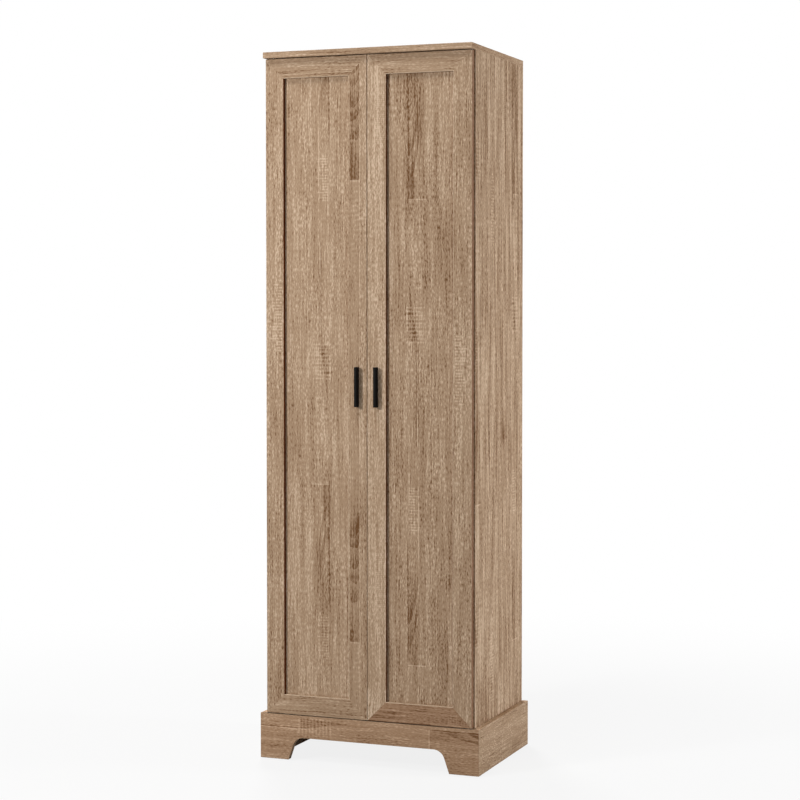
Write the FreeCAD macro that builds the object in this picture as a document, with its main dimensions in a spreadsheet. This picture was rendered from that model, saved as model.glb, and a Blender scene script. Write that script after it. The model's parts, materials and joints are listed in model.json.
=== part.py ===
import FreeCAD, Part
import operator
import os
from types import SimpleNamespace

import Sketcher

# Tall two-door storage cabinet on a bracket base, in millimetres.
# X runs to the right, Y to the back, Z up. The origin is on the floor, in the middle of the overall box.

# Driving dimensions, one cell of the sheet each
DIMENSIONS = {
    # Whole cabinet
    "overall_height": 1800,      # floor to the upper face of the top board
    "carcass_width": 560,        # over the outer faces of the two side panels
    "base_depth": 396,           # front face of the base to the back of the cabinet
    "base_height": 117.5,        # floor to the upper edge of the base
    "top_overhang": 12,          # top board in front of the base
    # Boards
    "board": 15,                 # side panels, top, bottom and shelves
    "base_board": 16,            # boards of the base
    "back_thick": 3,             # hardboard back
    "back_edge": 2,              # back panels stay this far inside the carcass outline
    "back_joint": 0.5,           # gap between the two back panels
    # Bracket base
    "foot_width": 78,            # foot on the floor, from the end of the front board
    "foot_lean": 20,             # arch leaves the foot this far inwards at its full height
    "arch_rise": 58,             # height of the arch above the lower edge
    "arch_round": 30,            # radius of the arch's upper corners
    "back_rail": 60,             # height of the rail at the back of the base
    "block_side": 30,            # corner blocks, both ways
    "block_lift": 12,            # lower end of a corner block above the floor
    "glide_radius": 7,
    "glide_thick": 2,
    "glide_inset": 22,           # glides in from the front and back edges
    "glide_nail_radius": 1,
    "glide_nail": 12,
    # Doors
    "door_thick": 15,
    "door_gap": 2,               # behind the closed doors
    "door_reveal": 3,            # door edge inside the carcass outline
    "gap_above": 2,
    "gap_below": 2,
    "meeting_gap": 1.5,
    "frame_width": 50,           # stiles and rails
    "panel_recess": 8,           # panel behind the frame's front
    "panel_thick": 4,
    "groove_depth": 8,
    "panel_play": 1,             # panel short of the bottom of its groove
    "mitre_dowel_radius": 3,
    "mitre_dowel": 30,
    # Handles
    "handle_length": 100,
    "handle_width": 7,
    "handle_projection": 16,
    "handle_round": 0.8,
    "handle_height": 957,        # middle of the handle above the floor
    "handle_screw_radius": 2,
    "handle_screw_head": 4,
    "handle_screw_reach": 8,     # screw inside the handle
    "handle_centres": 64,        # between a handle's two screws
    # Pivot hinges
    "pivot_inset": 4.5,          # pin in from the door's outer edge
    "pivot_depth": 5,            # pin behind the front face of the base
    "pin_radius": 2,
    "pin_running": 0.05,         # clearance round the pin in the door's leaf
    "pin_end": 0.2,              # pin short of the wood in the door
    "leaf_width": 8,
    "leaf_length": 46,           # pin to the tail of a leaf
    "leaf_thick": 2.5,
    "washer_play": 0.1,
    "leaf_screw_inset": 13,      # first screw from the pin
    "leaf_screw_tail": 7,        # second screw from the tail
    "leaf_screw": 12,
    # Shelves and their pins
    "middle_shelf": 943,         # underside of the fixed shelf
    "shelf_side_play": 1.5,
    "shelf_setback": 10,
    "shelf_back_play": 2,
    "shelf_pin_radius": 2.5,
    "shelf_pin_hole": 10,
    "shelf_pin_reach": 9,
    "shelf_pin_collar": 4,
    "shelf_pin_collar_thick": 1.2,
    "hole_step": 32,
    # Knock-down fittings
    "fitting_inset": 50,         # outer fittings from the front and back edges
    "dowel_offset": 32,          # dowels from those fittings
    "dowel_radius": 4,
    "dowel_in_side": 10,
    "dowel_in_end": 20,
    "front_dowel_step": 175,     # dowels behind the base's front board, either side of the middle
    "cam_radius": 7.4,
    "cam_fit": 0.1,
    "cam_depth": 12.5,
    "cam_reach": 24,             # middle of a cam from the end of its board
    "bolt_radius": 2.5,
    "bolt_head": 3.4,
    "bolt_head_thick": 2.5,
    "bolt_in_side": 11,
    "bolt_bore": 4,
    # Screws and nails
    "screw_radius": 1.75,
    "screw_head": 3.4,
    "screw_head_thick": 2,
    "base_screw": 28,
    "block_screw": 42,
    "nail_radius": 0.9,
    "nail_head": 2.6,
    "nail_head_thick": 0.8,
    "nail_length": 20,
    # Magnetic catches and bumpers
    "catch_width": 34,
    "catch_deep": 26,
    "catch_high": 13,
    "catch_gap": 0.3,            # between the catch and the strike plate
    "catch_screw_bite": 6,       # catch screw inside the fixed shelf
    "strike_width": 26,
    "strike_high": 11,
    "strike_thick": 1.2,
    "strike_screw": 10,
    "bumper_radius": 4,
    "bumper_thick": 1.7,
    "bumper_inset": 12,          # middle of a bumper from the door's meeting edge
    # Bracket that holds the cabinet to a wall
    "bracket_width": 24,
    "bracket_thick": 2,
    "bracket_leg": 45,
    "bracket_arm": 36,
    "bracket_hole": 2.75,
    "bracket_drop": 28,          # hole below the top board
    "bracket_screw_step": 7,     # screws of the arm, either side of its middle
    "back_hole": 4,
}


class Size:
    """A length: its number, and the expression that gives it from the sheet."""

    def __init__(self, text, number):
        self.text = text
        self.number = number

    def __add__(self, other):
        return joined(self, "+", other, operator.add)

    def __radd__(self, other):
        return joined(other, "+", self, operator.add)

    def __sub__(self, other):
        return joined(self, "-", other, operator.sub)

    def __mul__(self, other):
        return joined(self, "*", other, operator.mul)

    def __rmul__(self, other):
        return joined(other, "*", self, operator.mul)

    def __truediv__(self, other):
        return joined(self, "/", other, operator.truediv)

    def __neg__(self):
        return joined(0, "-", self, operator.sub)


def sized(item):
    """The same length as a Size, when it was written as a plain number."""
    return item if isinstance(item, Size) else Size(str(item), item)


def joined(first, sign, second, rule):
    """Two lengths joined by an arithmetic sign."""
    first, second = sized(first), sized(second)
    text = "(" + first.text + " " + sign + " " + second.text + ")"
    return Size(text, rule(first.number, second.number))


DOC = FreeCAD.newDocument("StorageCabinet")
SHEET = DOC.addObject("Spreadsheet::Sheet", "Sizes")
for row, (alias, number) in enumerate(DIMENSIONS.items(), start=1):
    SHEET.set("A" + str(row), alias)
    SHEET.set("B" + str(row), str(number))
    SHEET.setAlias("B" + str(row), alias)
DOC.recompute()
d = SimpleNamespace(**{name: Size("Sizes." + name, number) for name, number in DIMENSIONS.items()})

# Places that follow from the dimensions
door_proud = d.door_gap + d.door_thick - d.base_board
overall_depth = d.base_depth + door_proud + d.handle_projection
base_front = d.handle_projection + door_proud - overall_depth / 2
back_face = overall_depth / 2
top_front = base_front - d.top_overhang
carcass_front = base_front + d.base_board
carcass_back = back_face - d.back_thick
outer_half = d.carcass_width / 2
inner_half = outer_half - d.board
side_middle = outer_half - d.board / 2
base_half = outer_half + d.base_board
top_under = d.overall_height - d.board
bottom_under = d.base_height - d.board
base_low = d.glide_thick
middle_top = d.middle_shelf + d.board
door_back = carcass_front - d.door_gap
door_face = door_back - d.door_thick
door_low = d.base_height + d.gap_below
door_high = top_under - d.gap_above
door_meet = d.meeting_gap / 2
door_edge = outer_half - d.door_reveal
door_width = door_edge - door_meet
door_height = door_high - door_low
pivot_x = door_edge - d.pivot_inset
pivot_y = base_front + d.pivot_depth
stile_middle = door_meet + d.frame_width / 2
front_row = carcass_front + d.fitting_inset
rear_row = carcass_back - d.fitting_inset
depth_middle = (carcass_front + carcass_back) / 2

SIDES = {"left": -1, "right": 1}
NAIL_ROWS = 5              # nails down each side edge of a back panel
COS_45 = 0.5 ** 0.5        # share of a slanted length that a 45 degree slant gives each way
TURNS = {
    "+x": FreeCAD.Rotation(FreeCAD.Vector(0, 1, 0), 90),
    "-x": FreeCAD.Rotation(FreeCAD.Vector(0, 1, 0), -90),
    "+y": FreeCAD.Rotation(FreeCAD.Vector(1, 0, 0), -90),
    "-y": FreeCAD.Rotation(FreeCAD.Vector(1, 0, 0), 90),
    "+z": FreeCAD.Rotation(),
    "-z": FreeCAD.Rotation(FreeCAD.Vector(1, 0, 0), 180),
}
PARTS = []


def bind(item, **rules):
    """Tie properties of an object to lengths; a double underscore stands for a dot."""
    for name, rule in rules.items():
        item.setExpression(name.replace("__", "."), sized(rule).text)


def place(item, x, y, z):
    """Tie an object's place to three lengths."""
    bind(item, Placement__Base__x=x, Placement__Base__y=y, Placement__Base__z=z)


def slab(name, x, y, z):
    """A board or block between two x, two y and two z places."""
    item = DOC.addObject("Part::Box", name)
    bind(item, Length=x[1] - x[0], Width=y[1] - y[0], Height=z[1] - z[0])
    place(item, x[0], y[0], z[0])
    return item


def rod(name, way, start, radius, length):
    """A round bar or bore that runs from the middle of its first end along way."""
    item = DOC.addObject("Part::Cylinder", name)
    item.Placement = FreeCAD.Placement(FreeCAD.Vector(), TURNS[way])
    bind(item, Radius=radius, Height=length)
    place(item, *start)
    return item


def fused(name, items):
    """Pieces joined into one solid."""
    item = DOC.addObject("Part::MultiFuse", name)
    item.Shapes = items
    return item


def screw(name, way, start, length):
    """A countersunk screw: start is the middle of its head's flat face."""
    head = DOC.addObject("Part::Cone", name + "_head")
    head.Placement = FreeCAD.Placement(FreeCAD.Vector(), TURNS[way])
    bind(head, Radius1=d.screw_head, Radius2=d.screw_radius, Height=d.screw_head_thick)
    place(head, *start)
    return fused(name, [head, rod(name + "_shank", way, start, d.screw_radius, length)])


def group(name, items):
    """Pieces that stay separate solids under one name."""
    item = DOC.addObject("Part::Compound", name)
    item.Links = items
    return item


def cut(name, item, tools):
    """The item with the space of each tool taken out."""
    result = DOC.addObject("Part::Cut", name)
    result.Base = item
    result.Tool = tools[0] if len(tools) == 1 else group(name + "_tools", tools)
    return result


def part(label, item):
    """Mark a finished sub-part; its label names its node."""
    item.Label = label
    PARTS.append(item)
    return item


def along(side, low, high):
    """A stretch of X given for the right side, on the side asked for."""
    return (low, high) if side > 0 else (-high, -low)


def outline(body, name, role, corners):
    """A closed sketch on one of the body's own planes, each corner tied to two lengths."""
    sketch = body.newObject("Sketcher::SketchObject", name)
    planes = [item for item in body.Origin.OriginFeatures if item.Role == role]
    sketch.AttachmentSupport = [(planes[0], "")]
    sketch.MapMode = "FlatFace"
    spots = [FreeCAD.Vector(sized(u).number, sized(v).number, 0) for u, v in corners]
    count = len(spots)
    for index in range(count):
        sketch.addGeometry(Part.LineSegment(spots[index], spots[(index + 1) % count]), False)
    for index in range(count):
        sketch.addConstraint(Sketcher.Constraint("Coincident", index, 2, (index + 1) % count, 1))
    for index, corner in enumerate(corners):
        for kind, rule in zip(("DistanceX", "DistanceY"), corner):
            rule = sized(rule)
            spot = sketch.addConstraint(Sketcher.Constraint(kind, -1, 1, index, 1, rule.number))
            if rule.number or "Sizes" in rule.text:
                sketch.setExpression("Constraints[" + str(spot) + "]", rule.text)
    return sketch


def plate(name, role, corners, thickness):
    """A body padded from a closed outline to both sides of the plane by half its thickness."""
    body = DOC.addObject("PartDesign::Body", name)
    sketch = outline(body, name + "_outline", role, corners)
    pad = body.newObject("PartDesign::Pad", name + "_pad")
    pad.Profile = sketch
    pad.SideType = "Symmetric"
    bind(pad, Length=thickness)
    sketch.Visibility = False
    DOC.recompute()
    return body


def edges_at(shape, test):
    """Names of the edges whose two ends both pass a test."""
    names = []
    for index, edge in enumerate(shape.Edges, start=1):
        if all(test(vertex.Point) for vertex in edge.Vertexes):
            names.append("Edge" + str(index))
    return names


def fillet(body, name, edges, radius):
    """Round the named edges of the body's last feature."""
    base = body.Tip
    item = body.newObject("PartDesign::Fillet", name)
    item.Base = (base, edges)
    bind(item, Radius=radius)
    DOC.recompute()


def near(number, target):
    """True when two plain lengths agree to a hundredth of a millimetre."""
    return abs(number - target) < 0.01


def fitting_places():
    """The two cam rows and the two dowel rows, from the front of the carcass to the back."""
    cams = [("front", front_row), ("rear", rear_row)]
    dowels = [("front", front_row + d.dowel_offset), ("rear", rear_row - d.dowel_offset)]
    return cams, dowels


def level_joint(name, z):
    """Fittings that hold both ends of a level board whose middle is at height z."""
    cams, bolts, dowels, bores = [], [], [], []
    cam_rows, dowel_rows = fitting_places()
    for side_name, side in SIDES.items():
        inward, outward = ("-x", "+x") if side > 0 else ("+x", "-x")
        cam_x = side * (inner_half - d.cam_reach)
        for row_name, y in cam_rows:
            tag = name + "_" + side_name + "_" + row_name
            low = z - d.board / 2
            bore = rod(tag + "_bolt_bore", outward, (cam_x, y, z), d.bolt_bore, d.cam_reach)
            recess = rod(tag + "_cam_bore", "+z", (cam_x, y, low), d.cam_radius + d.cam_fit, d.cam_depth)
            blank = rod(tag + "_cam_blank", "+z", (cam_x, y, low), d.cam_radius, d.cam_depth)
            cams.append(cut(tag + "_cam", blank, [bore]))
            bolts.append(cam_bolt(tag + "_bolt", outward, (cam_x, y, z)))
            bores += [bore, recess]
        for row_name, y in dowel_rows:
            start = (side * (inner_half + d.dowel_in_side), y, z)
            dowels.append(dowel(name + "_" + side_name + "_" + row_name + "_dowel", inward, start))
    return cams, bolts, dowels, bores


def top_joint():
    """Fittings that hold the top board on the upper ends of the side panels."""
    cams, bolts, dowels, bores = [], [], [], {}
    cam_rows, dowel_rows = fitting_places()
    for side_name, side in SIDES.items():
        outward = "+x" if side > 0 else "-x"
        middle = side * side_middle
        bores[side_name] = []
        for row_name, y in cam_rows:
            tag = "top_" + side_name + "_" + row_name
            cam_z = top_under - d.cam_reach
            mouth = (side * inner_half, y, cam_z)
            bore = rod(tag + "_bolt_bore", "+z", (middle, y, cam_z), d.bolt_bore, d.cam_reach)
            recess = rod(tag + "_cam_bore", outward, mouth, d.cam_radius + d.cam_fit, d.cam_depth)
            blank = rod(tag + "_cam_blank", outward, mouth, d.cam_radius, d.cam_depth)
            cams.append(cut(tag + "_cam", blank, [bore]))
            bolts.append(cam_bolt(tag + "_bolt", "+z", (middle, y, cam_z)))
            bores[side_name] += [bore, recess]
        for row_name, y in dowel_rows:
            start = (middle, y, top_under + d.dowel_in_side)
            dowels.append(dowel("top_" + side_name + "_" + row_name + "_dowel", "-z", start))
    return cams, bolts, dowels, bores


def cam_bolt(name, way, start):
    """A bolt with its head in the cam and its thread in the neighbouring board."""
    head = rod(name + "_head", way, start, d.bolt_head, d.bolt_head_thick)
    shank = rod(name + "_shank", way, start, d.bolt_radius, d.cam_reach + d.bolt_in_side)
    return fused(name, [head, shank])


def dowel(name, way, start):
    """A wooden dowel that starts inside one board and ends inside the next."""
    return rod(name, way, start, d.dowel_radius, d.dowel_in_side + d.dowel_in_end)


# Shelves: the fixed one in the middle, and two at equal steps above and below it
lower_step = (d.middle_shelf - d.base_height - 2 * d.board) / 3
upper_step = (top_under - middle_top - 2 * d.board) / 3
shelf_unders = [
    d.base_height + lower_step,
    d.base_height + 2 * lower_step + d.board,
    middle_top + upper_step,
    middle_top + 2 * upper_step + d.board,
]

# Fittings of the carcass, whose solids also cut their own holes
bottom_cams, bottom_bolts, bottom_dowels, bottom_bores = level_joint("bottom", bottom_under + d.board / 2)
middle_cams, middle_bolts, middle_dowels, middle_bores = level_joint("middle", d.middle_shelf + d.board / 2)
top_cams, top_bolts, top_dowels, top_bores = top_joint()

rail_dowels = []
for side_name, side in SIDES.items():
    way = "-x" if side > 0 else "+x"
    for row in (1, 3):
        z = bottom_under - d.back_rail * row / 4
        spot = (side * (inner_half + d.dowel_in_side), carcass_back - d.board / 2, z)
        rail_dowels.append(dowel("rail_" + side_name + "_dowel_" + str(row), way, spot))

front_dowels = []
for step in (-1, 0, 1):
    spot = (step * d.front_dowel_step, carcass_front - d.dowel_in_side, bottom_under + d.board / 2)
    front_dowels.append(dowel("front_dowel_" + str(step + 1), "+y", spot))


def shelf_pins_of(number, under):
    """Four shelf pins for one shelf, and the spare holes a step above and below them."""
    pins, holes = [], []
    for side_name, side in SIDES.items():
        inward = "-x" if side > 0 else "+x"
        for row_name, y in (("front", front_row), ("rear", rear_row)):
            tag = "shelf_" + str(number) + "_" + side_name + "_" + row_name
            deep = side * (inner_half + d.shelf_pin_hole)
            z = under - d.shelf_pin_radius
            reach = d.shelf_pin_hole + d.shelf_pin_reach
            shank = rod(tag + "_shank", inward, (deep, y, z), d.shelf_pin_radius, reach)
            face = (side * inner_half, y, z)
            collar = rod(tag + "_collar", inward, face, d.shelf_pin_collar, d.shelf_pin_collar_thick)
            pins.append((side_name, fused(tag + "_pin", [shank, collar])))
            for step in (-1, 1):
                spot = (deep, y, z + step * d.hole_step)
                hole = rod(tag + "_hole_" + str(step + 1), inward, spot, d.shelf_pin_radius, d.shelf_pin_hole)
                holes.append((side_name, hole))
    return pins, holes


shelf_pins, spare_holes = [], []
for number, under in enumerate(shelf_unders, start=1):
    pins, holes = shelf_pins_of(number, under)
    shelf_pins += pins
    spare_holes += holes
part("shelf_pins", group("all_shelf_pins", [pin for side_name, pin in shelf_pins]))


def glides_of(side_name, side):
    """Three nail-on glides under one side panel."""
    glides = []
    rows = {
        "front": carcass_front + d.glide_inset,
        "middle": depth_middle,
        "rear": carcass_back - d.glide_inset,
    }
    for row_name, y in rows.items():
        tag = side_name + "_" + row_name + "_glide"
        spot = (side * side_middle, y, 0)
        pad = rod(tag + "_pad", "+z", spot, d.glide_radius, d.glide_thick)
        nail = rod(tag + "_nail", "+z", spot, d.glide_nail_radius, d.glide_thick + d.glide_nail)
        glides.append(fused(tag, [pad, nail]))
    return glides


# Corner blocks behind the feet, with the screws that hold the boards of the base
base_screws, glides, blocks = {}, {}, []
for side_name, side in SIDES.items():
    outward = "+x" if side > 0 else "-x"
    glides[side_name] = glides_of(side_name, side)
    block_back = carcass_front + d.block_side
    block_x = inner_half - d.block_side
    screws = {"front": [], "side": [], "board": []}
    for row in (1, 3):
        z = d.block_lift + (bottom_under - d.block_lift) * row / 4
        spot = (side * (inner_half - d.block_side / 3), block_back, z)
        screws["front"].append(screw("block_front_" + side_name + str(row), "-y", spot, d.block_screw))
    for row in (3, 5):
        z = d.block_lift + (bottom_under - d.block_lift) * row / 8
        spot = (side * block_x, carcass_front + d.block_side * 2 / 3, z)
        screws["side"].append(screw("block_side_" + side_name + str(row), outward, spot, d.block_screw))
    for row in (1, 2, 3):
        y = carcass_front + (carcass_back - carcass_front) * row / 4
        spot = (side * inner_half, y, d.base_height / 2)
        screws["board"].append(screw("base_side_" + side_name + str(row), outward, spot, d.base_screw))
    base_screws[side_name] = screws
    blank = slab(
        side_name + "_block_blank",
        along(side, block_x, inner_half),
        (carcass_front, block_back),
        (d.block_lift, bottom_under),
    )
    blocks.append(cut(side_name + "_block", blank, screws["front"] + screws["side"]))
part("foot_glides", group("all_glides", glides["left"] + glides["right"]))
part("base_corner_blocks", group("all_blocks", blocks))
all_base_screws = [item for screws in base_screws.values() for rows in screws.values() for item in rows]
part("base_screws", group("all_base_screws", all_base_screws))


# Nails of the two back panels
def nail(name, x, z):
    """A nail driven forwards through the back, its head let in."""
    head = rod(name + "_head", "-y", (x, back_face, z), d.nail_head, d.nail_head_thick)
    shank = rod(name + "_shank", "-y", (x, back_face, z), d.nail_radius, d.nail_length)
    return fused(name, [head, shank])


back_split = d.middle_shelf + d.board / 2
back_low = bottom_under + d.back_edge
back_high = d.overall_height - d.back_edge
side_nails = {"left": [], "right": []}
row_nails = {"bottom": [], "lower_middle": [], "upper_middle": [], "top": []}
panel_nails = {"lower": [], "upper": []}
for panel_name, low, high in (("lower", back_low, back_split), ("upper", back_split, back_high)):
    for row in range(NAIL_ROWS):
        z = low + (high - low) * (row + 0.5) / NAIL_ROWS
        for side_name, side in SIDES.items():
            item = nail("nail_" + panel_name + "_" + side_name + str(row), side * side_middle, z)
            side_nails[side_name].append(item)
            panel_nails[panel_name].append(item)
for row_name, panel_name, z in (
    ("bottom", "lower", bottom_under + d.board / 2),
    ("lower_middle", "lower", d.middle_shelf + d.board / 4),
    ("upper_middle", "upper", d.middle_shelf + d.board * 3 / 4),
    ("top", "upper", top_under + d.board / 2),
):
    for step in (-3, -1, 1, 3):
        item = nail("nail_" + row_name + str(step + 3), step * inner_half / 4, z)
        row_nails[row_name].append(item)
        panel_nails[panel_name].append(item)
part("back_panel_nails", group("all_nails", panel_nails["lower"] + panel_nails["upper"]))


# Pivot hinges: a leaf in the cabinet, a leaf in the door and a pin through both, at each end of a door
def leaf_blank(name, side, z):
    """A flat bar with a round nose about the pin."""
    half = d.leaf_width / 2
    x = along(side, pivot_x - d.leaf_length, pivot_x)
    bar = slab(name + "_bar", x, (pivot_y - half, pivot_y + half), z)
    nose = rod(name + "_nose", "+z", (side * pivot_x, pivot_y, z[0]), half, z[1] - z[0])
    return fused(name + "_blank", [bar, nose])


def leaf_screws(name, side, way, z):
    """The two screws of a leaf; z is the leaf's face that the heads are let into."""
    near_pin = pivot_x - d.leaf_screw_inset
    near_tail = pivot_x - d.leaf_length + d.leaf_screw_tail
    screws = []
    for index, x in enumerate((near_pin, near_tail), start=1):
        screws.append(screw(name + str(index), way, (side * x, pivot_y, z), d.leaf_screw))
    return screws


hinges = {}
pins, washers = [], []
for side_name, side in SIDES.items():
    for end, frame_face, door_end, inward in (
        ("upper", top_under, door_high, -1),
        ("lower", d.base_height, door_low, 1),
    ):
        tag = end + "_" + side_name
        way, back_way = ("+z", "-z") if inward > 0 else ("-z", "+z")
        frame_far = frame_face - inward * d.leaf_thick
        door_far = door_end + inward * d.leaf_thick
        low, high = (frame_far, frame_face) if inward > 0 else (frame_face, frame_far)
        frame_blank = leaf_blank(tag + "_frame_leaf", side, (low, high))
        low, high = (door_end, door_far) if inward > 0 else (door_far, door_end)
        door_blank = leaf_blank(tag + "_door_leaf", side, (low, high))
        frame_screws = leaf_screws(tag + "_frame_screw", side, back_way, frame_face)
        door_screws = leaf_screws(tag + "_door_screw", side, way, door_end)
        gap = inward * (door_end - frame_face)
        pin_length = 2 * d.leaf_thick + gap - d.pin_end
        pin = rod(tag + "_pin", way, (side * pivot_x, pivot_y, frame_far), d.pin_radius, pin_length)
        washer_face = (side * pivot_x, pivot_y, frame_face)
        ring = rod(tag + "_ring", way, washer_face, d.leaf_width / 2, gap - d.washer_play)
        eye_radius = d.pin_radius + d.pin_running
        eye = rod(tag + "_eye", way, (side * pivot_x, pivot_y, frame_far), eye_radius, 2 * d.leaf_thick + gap)
        pins.append(pin)
        washers.append(cut(tag + "_washer", ring, [eye]))
        hinges[tag] = SimpleNamespace(
            frame_blank=frame_blank,
            door_blank=door_blank,
            frame_screws=frame_screws,
            door_screws=door_screws,
            frame_leaf=cut(tag + "_frame_leaf_cut", frame_blank, [pin] + frame_screws),
            door_leaf=cut(tag + "_door_leaf_cut", door_blank, [eye] + door_screws),
        )
for side_name in SIDES:
    leaves = [hinges[end + "_" + side_name].frame_leaf for end in ("upper", "lower")]
    part(side_name + "_frame_hinge_leaves", group(side_name + "_frame_leaves", leaves))
part("hinge_pins", group("all_pins", pins))
part("hinge_washers", group("all_washers", washers))
frame_screws = [item for hinge in hinges.values() for item in hinge.frame_screws]
part("frame_leaf_screws", group("all_frame_screws", frame_screws))

# Bracket under the top board that holds the cabinet to a wall
bracket_middle = carcass_back - d.bracket_arm / 2
bracket_screws = []
for index, step in enumerate((-1, 1), start=1):
    spot = (0, bracket_middle + step * d.bracket_screw_step, top_under - d.bracket_thick)
    bracket_screws.append(screw("bracket_screw_" + str(index), "+z", spot, d.leaf_screw))
half = d.bracket_width / 2
upright = slab(
    "bracket_upright",
    (-half, half),
    (carcass_back - d.bracket_thick, carcass_back),
    (top_under - d.bracket_leg, top_under),
)
arm = slab(
    "bracket_arm",
    (-half, half),
    (carcass_back - d.bracket_arm, carcass_back),
    (top_under - d.bracket_thick, top_under),
)
bracket_spot = (0, carcass_back - d.bracket_thick, top_under - d.bracket_drop)
bracket_bore = rod("bracket_bore", "+y", bracket_spot, d.bracket_hole, d.bracket_thick)
back_bore = rod("back_bore", "+y", (0, carcass_back, top_under - d.bracket_drop), d.back_hole, d.back_thick)
part("wall_bracket", cut("bracket", fused("bracket_blank", [upright, arm]), [bracket_bore] + bracket_screws))
part("wall_bracket_screws", group("all_bracket_screws", bracket_screws))

# Magnetic catches under the fixed shelf, one for each door
strike_back = door_back + d.strike_thick
catch_front = strike_back + d.catch_gap
catch_screws = []
for side_name, side in SIDES.items():
    spot = (side * stile_middle, catch_front + d.catch_deep / 2, d.middle_shelf - d.catch_high)
    holder = screw(side_name + "_catch_screw", "+z", spot, d.catch_high + d.catch_screw_bite)
    catch_screws.append(holder)
    half = d.catch_width / 2
    blank = slab(
        side_name + "_catch_blank",
        along(side, stile_middle - half, stile_middle + half),
        (catch_front, catch_front + d.catch_deep),
        (d.middle_shelf - d.catch_high, d.middle_shelf),
    )
    part(side_name + "_magnetic_catch", cut(side_name + "_catch", blank, [holder]))
part("catch_screws", group("all_catch_screws", catch_screws))

# Fittings that are shared by two or more boards
part("cam_locks", group("all_cams", bottom_cams + middle_cams + top_cams))
part("cam_bolts", group("all_bolts", bottom_bolts + middle_bolts + top_bolts))
all_dowels = bottom_dowels + middle_dowels + top_dowels + rail_dowels + front_dowels
part("carcass_dowels", group("all_dowels", all_dowels))

# Side panels
for side_name, side in SIDES.items():
    blank = slab(
        side_name + "_side_blank",
        along(side, inner_half, outer_half),
        (carcass_front, carcass_back),
        (base_low, top_under),
    )
    fittings = bottom_bolts + middle_bolts + bottom_dowels + middle_dowels + top_dowels + rail_dowels
    tools = [item for item in fittings if side_name in item.Name] + top_bores[side_name]
    tools += [item for name, item in shelf_pins + spare_holes if name == side_name]
    tools += glides[side_name] + side_nails[side_name]
    tools += base_screws[side_name]["side"] + base_screws[side_name]["board"]
    part(side_name + "_side_panel", cut(side_name + "_side", blank, tools))

# Top board, flush with the sides and the back, proud of the doors
blank = slab("top_blank", (-outer_half, outer_half), (top_front, carcass_back), (top_under, d.overall_height))
tools = top_bolts + top_dowels + row_nails["top"] + bracket_screws
for side_name in SIDES:
    hinge = hinges["upper_" + side_name]
    tools += [hinge.frame_blank] + hinge.frame_screws
part("top_board", cut("top", blank, tools))

# Bottom panel and fixed shelf
inside_x = (-inner_half, inner_half)
inside_y = (carcass_front, carcass_back)
blank = slab("bottom_blank", inside_x, inside_y, (bottom_under, d.base_height))
part("bottom_panel", cut("bottom", blank, bottom_bores + bottom_dowels + front_dowels + row_nails["bottom"]))
blank = slab("middle_blank", inside_x, inside_y, (d.middle_shelf, middle_top))
tools = middle_bores + middle_dowels + row_nails["lower_middle"] + row_nails["upper_middle"] + catch_screws
part("fixed_middle_shelf", cut("middle", blank, tools))

# Shelves that lie on pins
shelf_half = inner_half - d.shelf_side_play
for number, under in enumerate(shelf_unders, start=1):
    shelf = slab(
        "shelf_" + str(number),
        (-shelf_half, shelf_half),
        (carcass_front + d.shelf_setback, carcass_back - d.shelf_back_play),
        (under, under + d.board),
    )
    part("adjustable_shelf_" + str(number), shelf)

# Back panels, which meet on the rear edge of the fixed shelf
back_half = outer_half - d.back_edge
for panel_name, low, high, holes in (
    ("lower", back_low, back_split - d.back_joint / 2, []),
    ("upper", back_split + d.back_joint / 2, back_high, [back_bore]),
):
    blank = slab(panel_name + "_back_blank", (-back_half, back_half), (carcass_back, back_face), (low, high))
    part(panel_name + "_back_panel", cut(panel_name + "_back", blank, panel_nails[panel_name] + holes))

# Rail between the side panels at the back of the base
rail_z = (bottom_under - d.back_rail, bottom_under)
blank = slab("rail_blank", inside_x, (carcass_back - d.board, carcass_back), rail_z)
part("base_back_rail", cut("rail", blank, rail_dowels))


def arched_board():
    """Front board of the base: mitred ends, and an arch that leaves a foot at each end."""
    height = d.base_height - base_low
    half = d.base_board / 2
    plan = [(-base_half, -half), (base_half, -half), (outer_half, half), (-outer_half, half)]
    body = plate("base_front", "XY_Plane", plan, height)
    foot = base_half - d.foot_width
    shoulder = foot - d.foot_lean
    arch_top = d.arch_rise - height / 2
    corners = [(-foot, -height / 2), (foot, -height / 2), (shoulder, arch_top), (-shoulder, arch_top)]
    pocket = body.newObject("PartDesign::Pocket", "base_arch")
    pocket.Profile = outline(body, "base_arch_outline", "XZ_Plane", corners)
    pocket.Type = "Length"
    pocket.SideType = "Symmetric"
    bind(pocket, Length=2 * d.base_board)
    DOC.recompute()
    corners = []
    for x in (-shoulder.number, shoulder.number):
        corners += edges_at(body.Shape, lambda p: near(p.x, x) and near(p.z, arch_top.number))
    fillet(body, "base_arch_round", corners, d.arch_round)
    place(body, 0, base_front + half, base_low + height / 2)
    return body


# Boards of the base, mitred together at the front corners
tools = front_dowels + [item for side_name in SIDES for item in base_screws[side_name]["front"]]
for side_name in SIDES:
    hinge = hinges["lower_" + side_name]
    tools += [hinge.frame_blank] + hinge.frame_screws
part("base_front_board", cut("base_front_cut", arched_board(), tools))
for side_name, side in SIDES.items():
    height = d.base_height - base_low
    thick = side * d.base_board
    plan = [(0, d.base_board), (thick, 0), (thick, d.base_depth), (0, d.base_depth)]
    body = plate("base_" + side_name, "XY_Plane", plan, height)
    place(body, side * outer_half, base_front, base_low + height / 2)
    tools = base_screws[side_name]["board"]
    part("base_" + side_name + "_board", cut("base_" + side_name + "_cut", body, tools))


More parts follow.
